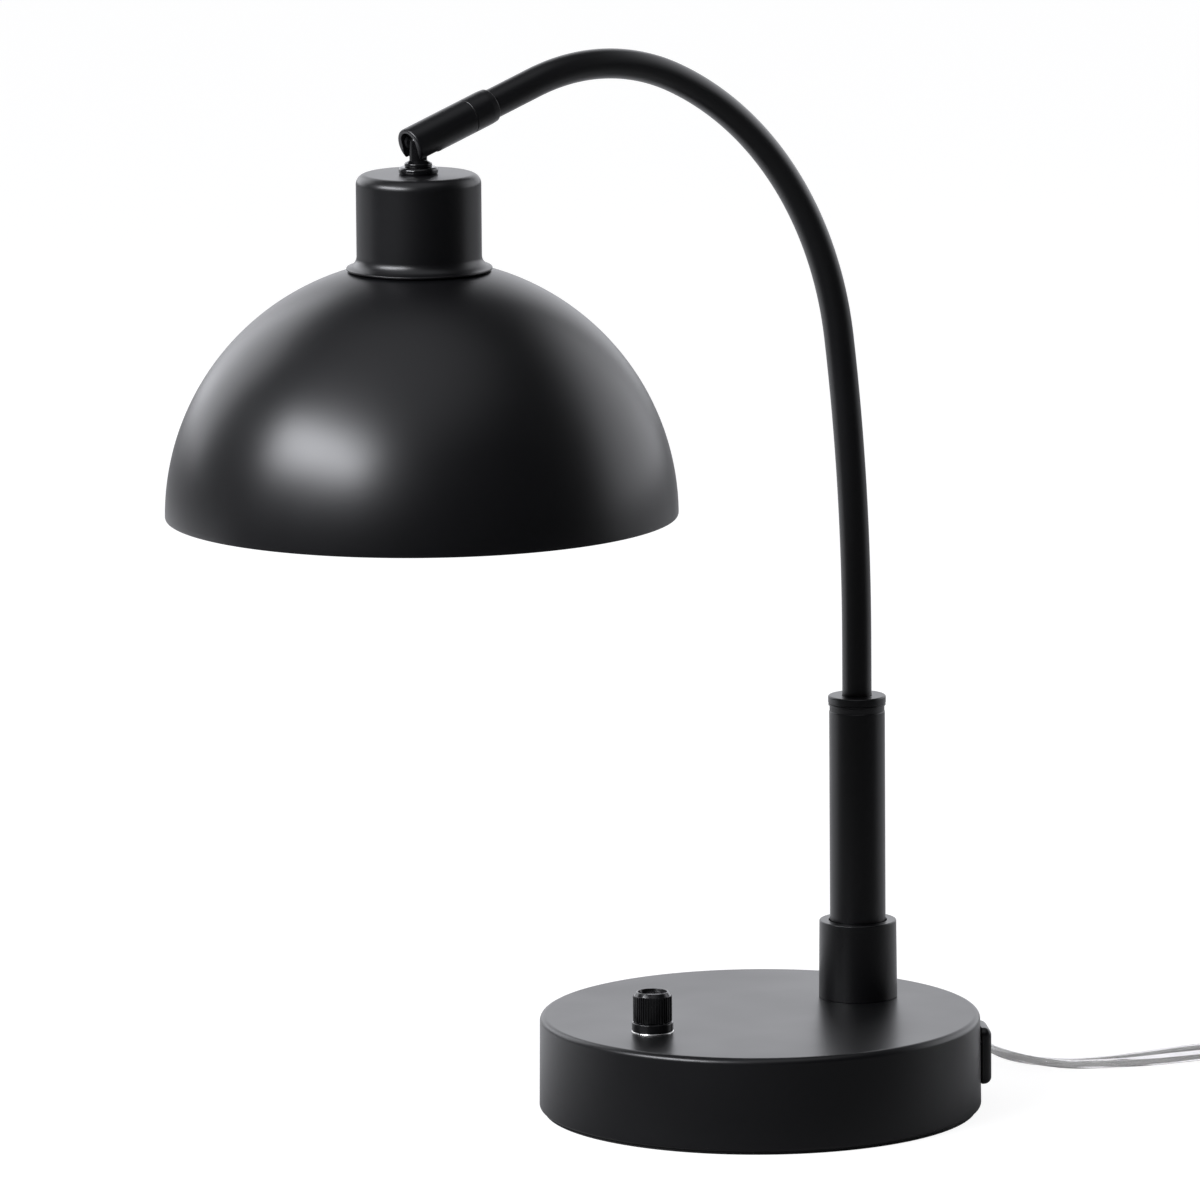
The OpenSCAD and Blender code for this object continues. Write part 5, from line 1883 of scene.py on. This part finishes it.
    def surround(self) -> None:
        """Makes the world: white to the eye, and to gloss bright sweeps in an unlit room."""
        world = bpy.data.worlds.new("studio")
        bpy.context.scene.world = world
        world.use_nodes = True
        tree = world.node_tree
        tree.nodes.clear()
        seen = self.seen(tree, add_node(tree, "ShaderNodeLightPath"))
        direction = add_node(tree, "ShaderNodeTexCoord").outputs["Generated"]
        brightest = {"operation": "MAXIMUM"}
        light = add_node(tree, "ShaderNodeMath", brightest | {0: self.room}, {1: seen}).outputs[0]
        for sweep in self.sweeps:
            facing = add_node(
                tree,
                "ShaderNodeVectorMath",
                {"operation": "DOT_PRODUCT", 1: self.toward(sweep.turn, sweep.rise)},
                {0: direction},
            )
            glow = add_node(
                tree,
                "ShaderNodeMapRange",
                {
                    "interpolation_type": "SMOOTHSTEP",
                    "From Min": math.cos(math.radians(sweep.outer)),
                    "From Max": math.cos(math.radians(sweep.inner)),
                    "To Max": sweep.level,
                },
                {"Value": facing.outputs["Value"]},
            )
            pair = {0: light, 1: glow.outputs[0]}
            light = add_node(tree, "ShaderNodeMath", brightest, pair).outputs[0]
        tone = add_node(
            tree,
            "ShaderNodeMix",
            {"data_type": "RGBA", 6: (*self.daylight, 1.0), 7: (1.0, 1.0, 1.0, 1.0)},
            {"Factor": seen},
        )
        back = add_node(
            tree, "ShaderNodeBackground", None, {"Color": tone.outputs[2], "Strength": light}
        )
        add_node(tree, "ShaderNodeOutputWorld", None, {"Surface": back.outputs[0]})

    def lamp(self, box: SoftBox) -> None:
        """Hangs a soft lamp round the object, facing the aim.

        Args:
            box: The lamp.
        """
        out = self.toward(box.turn, box.rise)
        data = bpy.data.lights.new(box.name, "AREA")
        data.shape, data.size, data.size_y = "RECTANGLE", *box.size
        data.energy = box.radiance * math.pi * box.size[0] * box.size[1]
        data.color = self.daylight
        lamp = bpy.data.objects.new(box.name, data)
        bpy.context.scene.collection.objects.link(lamp)
        lamp.location = Vector(self.aim) * MM + out * box.distance
        lamp.rotation_euler = out.to_track_quat("Z", "Y").to_euler()

    def build(self) -> None:
        """Builds the whole studio."""
        self.camera()
        self.floor()
        self.surround()
        for box in self.boxes:
            self.lamp(box)


# ---- Carried-over CAD nodes ----


def dress_cad(frame: dict[str, Any]) -> None:
    """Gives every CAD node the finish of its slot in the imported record.
    """
    slots = {part["node"]: part["material_slot"] for part in frame["record"]["subparts"]}
    for name, obj in frame["nodes"].items():
        obj.data.materials.clear()
        obj.data.materials.append(FINISHES[slots[name]].material())
    log.info("dressed %d CAD nodes", len(frame["nodes"]))


def main() -> None:
    """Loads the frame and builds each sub-assembly in order."""
    logging.basicConfig(level=logging.INFO, format="%(name)s: %(message)s")
    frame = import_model()
    bpy.context.scene.view_settings.view_transform = "Standard"
    Studio().build()
    dress_cad(frame)
    MainsCord().build()
    Base().build()
    Column().build()
    arm = Arm()
    arm.build()
    pin, lean = arm.knuckle_place()
    knuckle = Knuckle(pin, lean)
    knuckle.build()
    shade = Shade(pin.x, 0.0)
    shade.rim = pin.z - knuckle.rise - shade.land - shade.cap_height
    shade.build()
    LampHolder(pin.x, shade.rim, shade.land).build()
    Dimmer().build()
    Port().build()
    deselect()


if __name__ == "__main__":
    main()
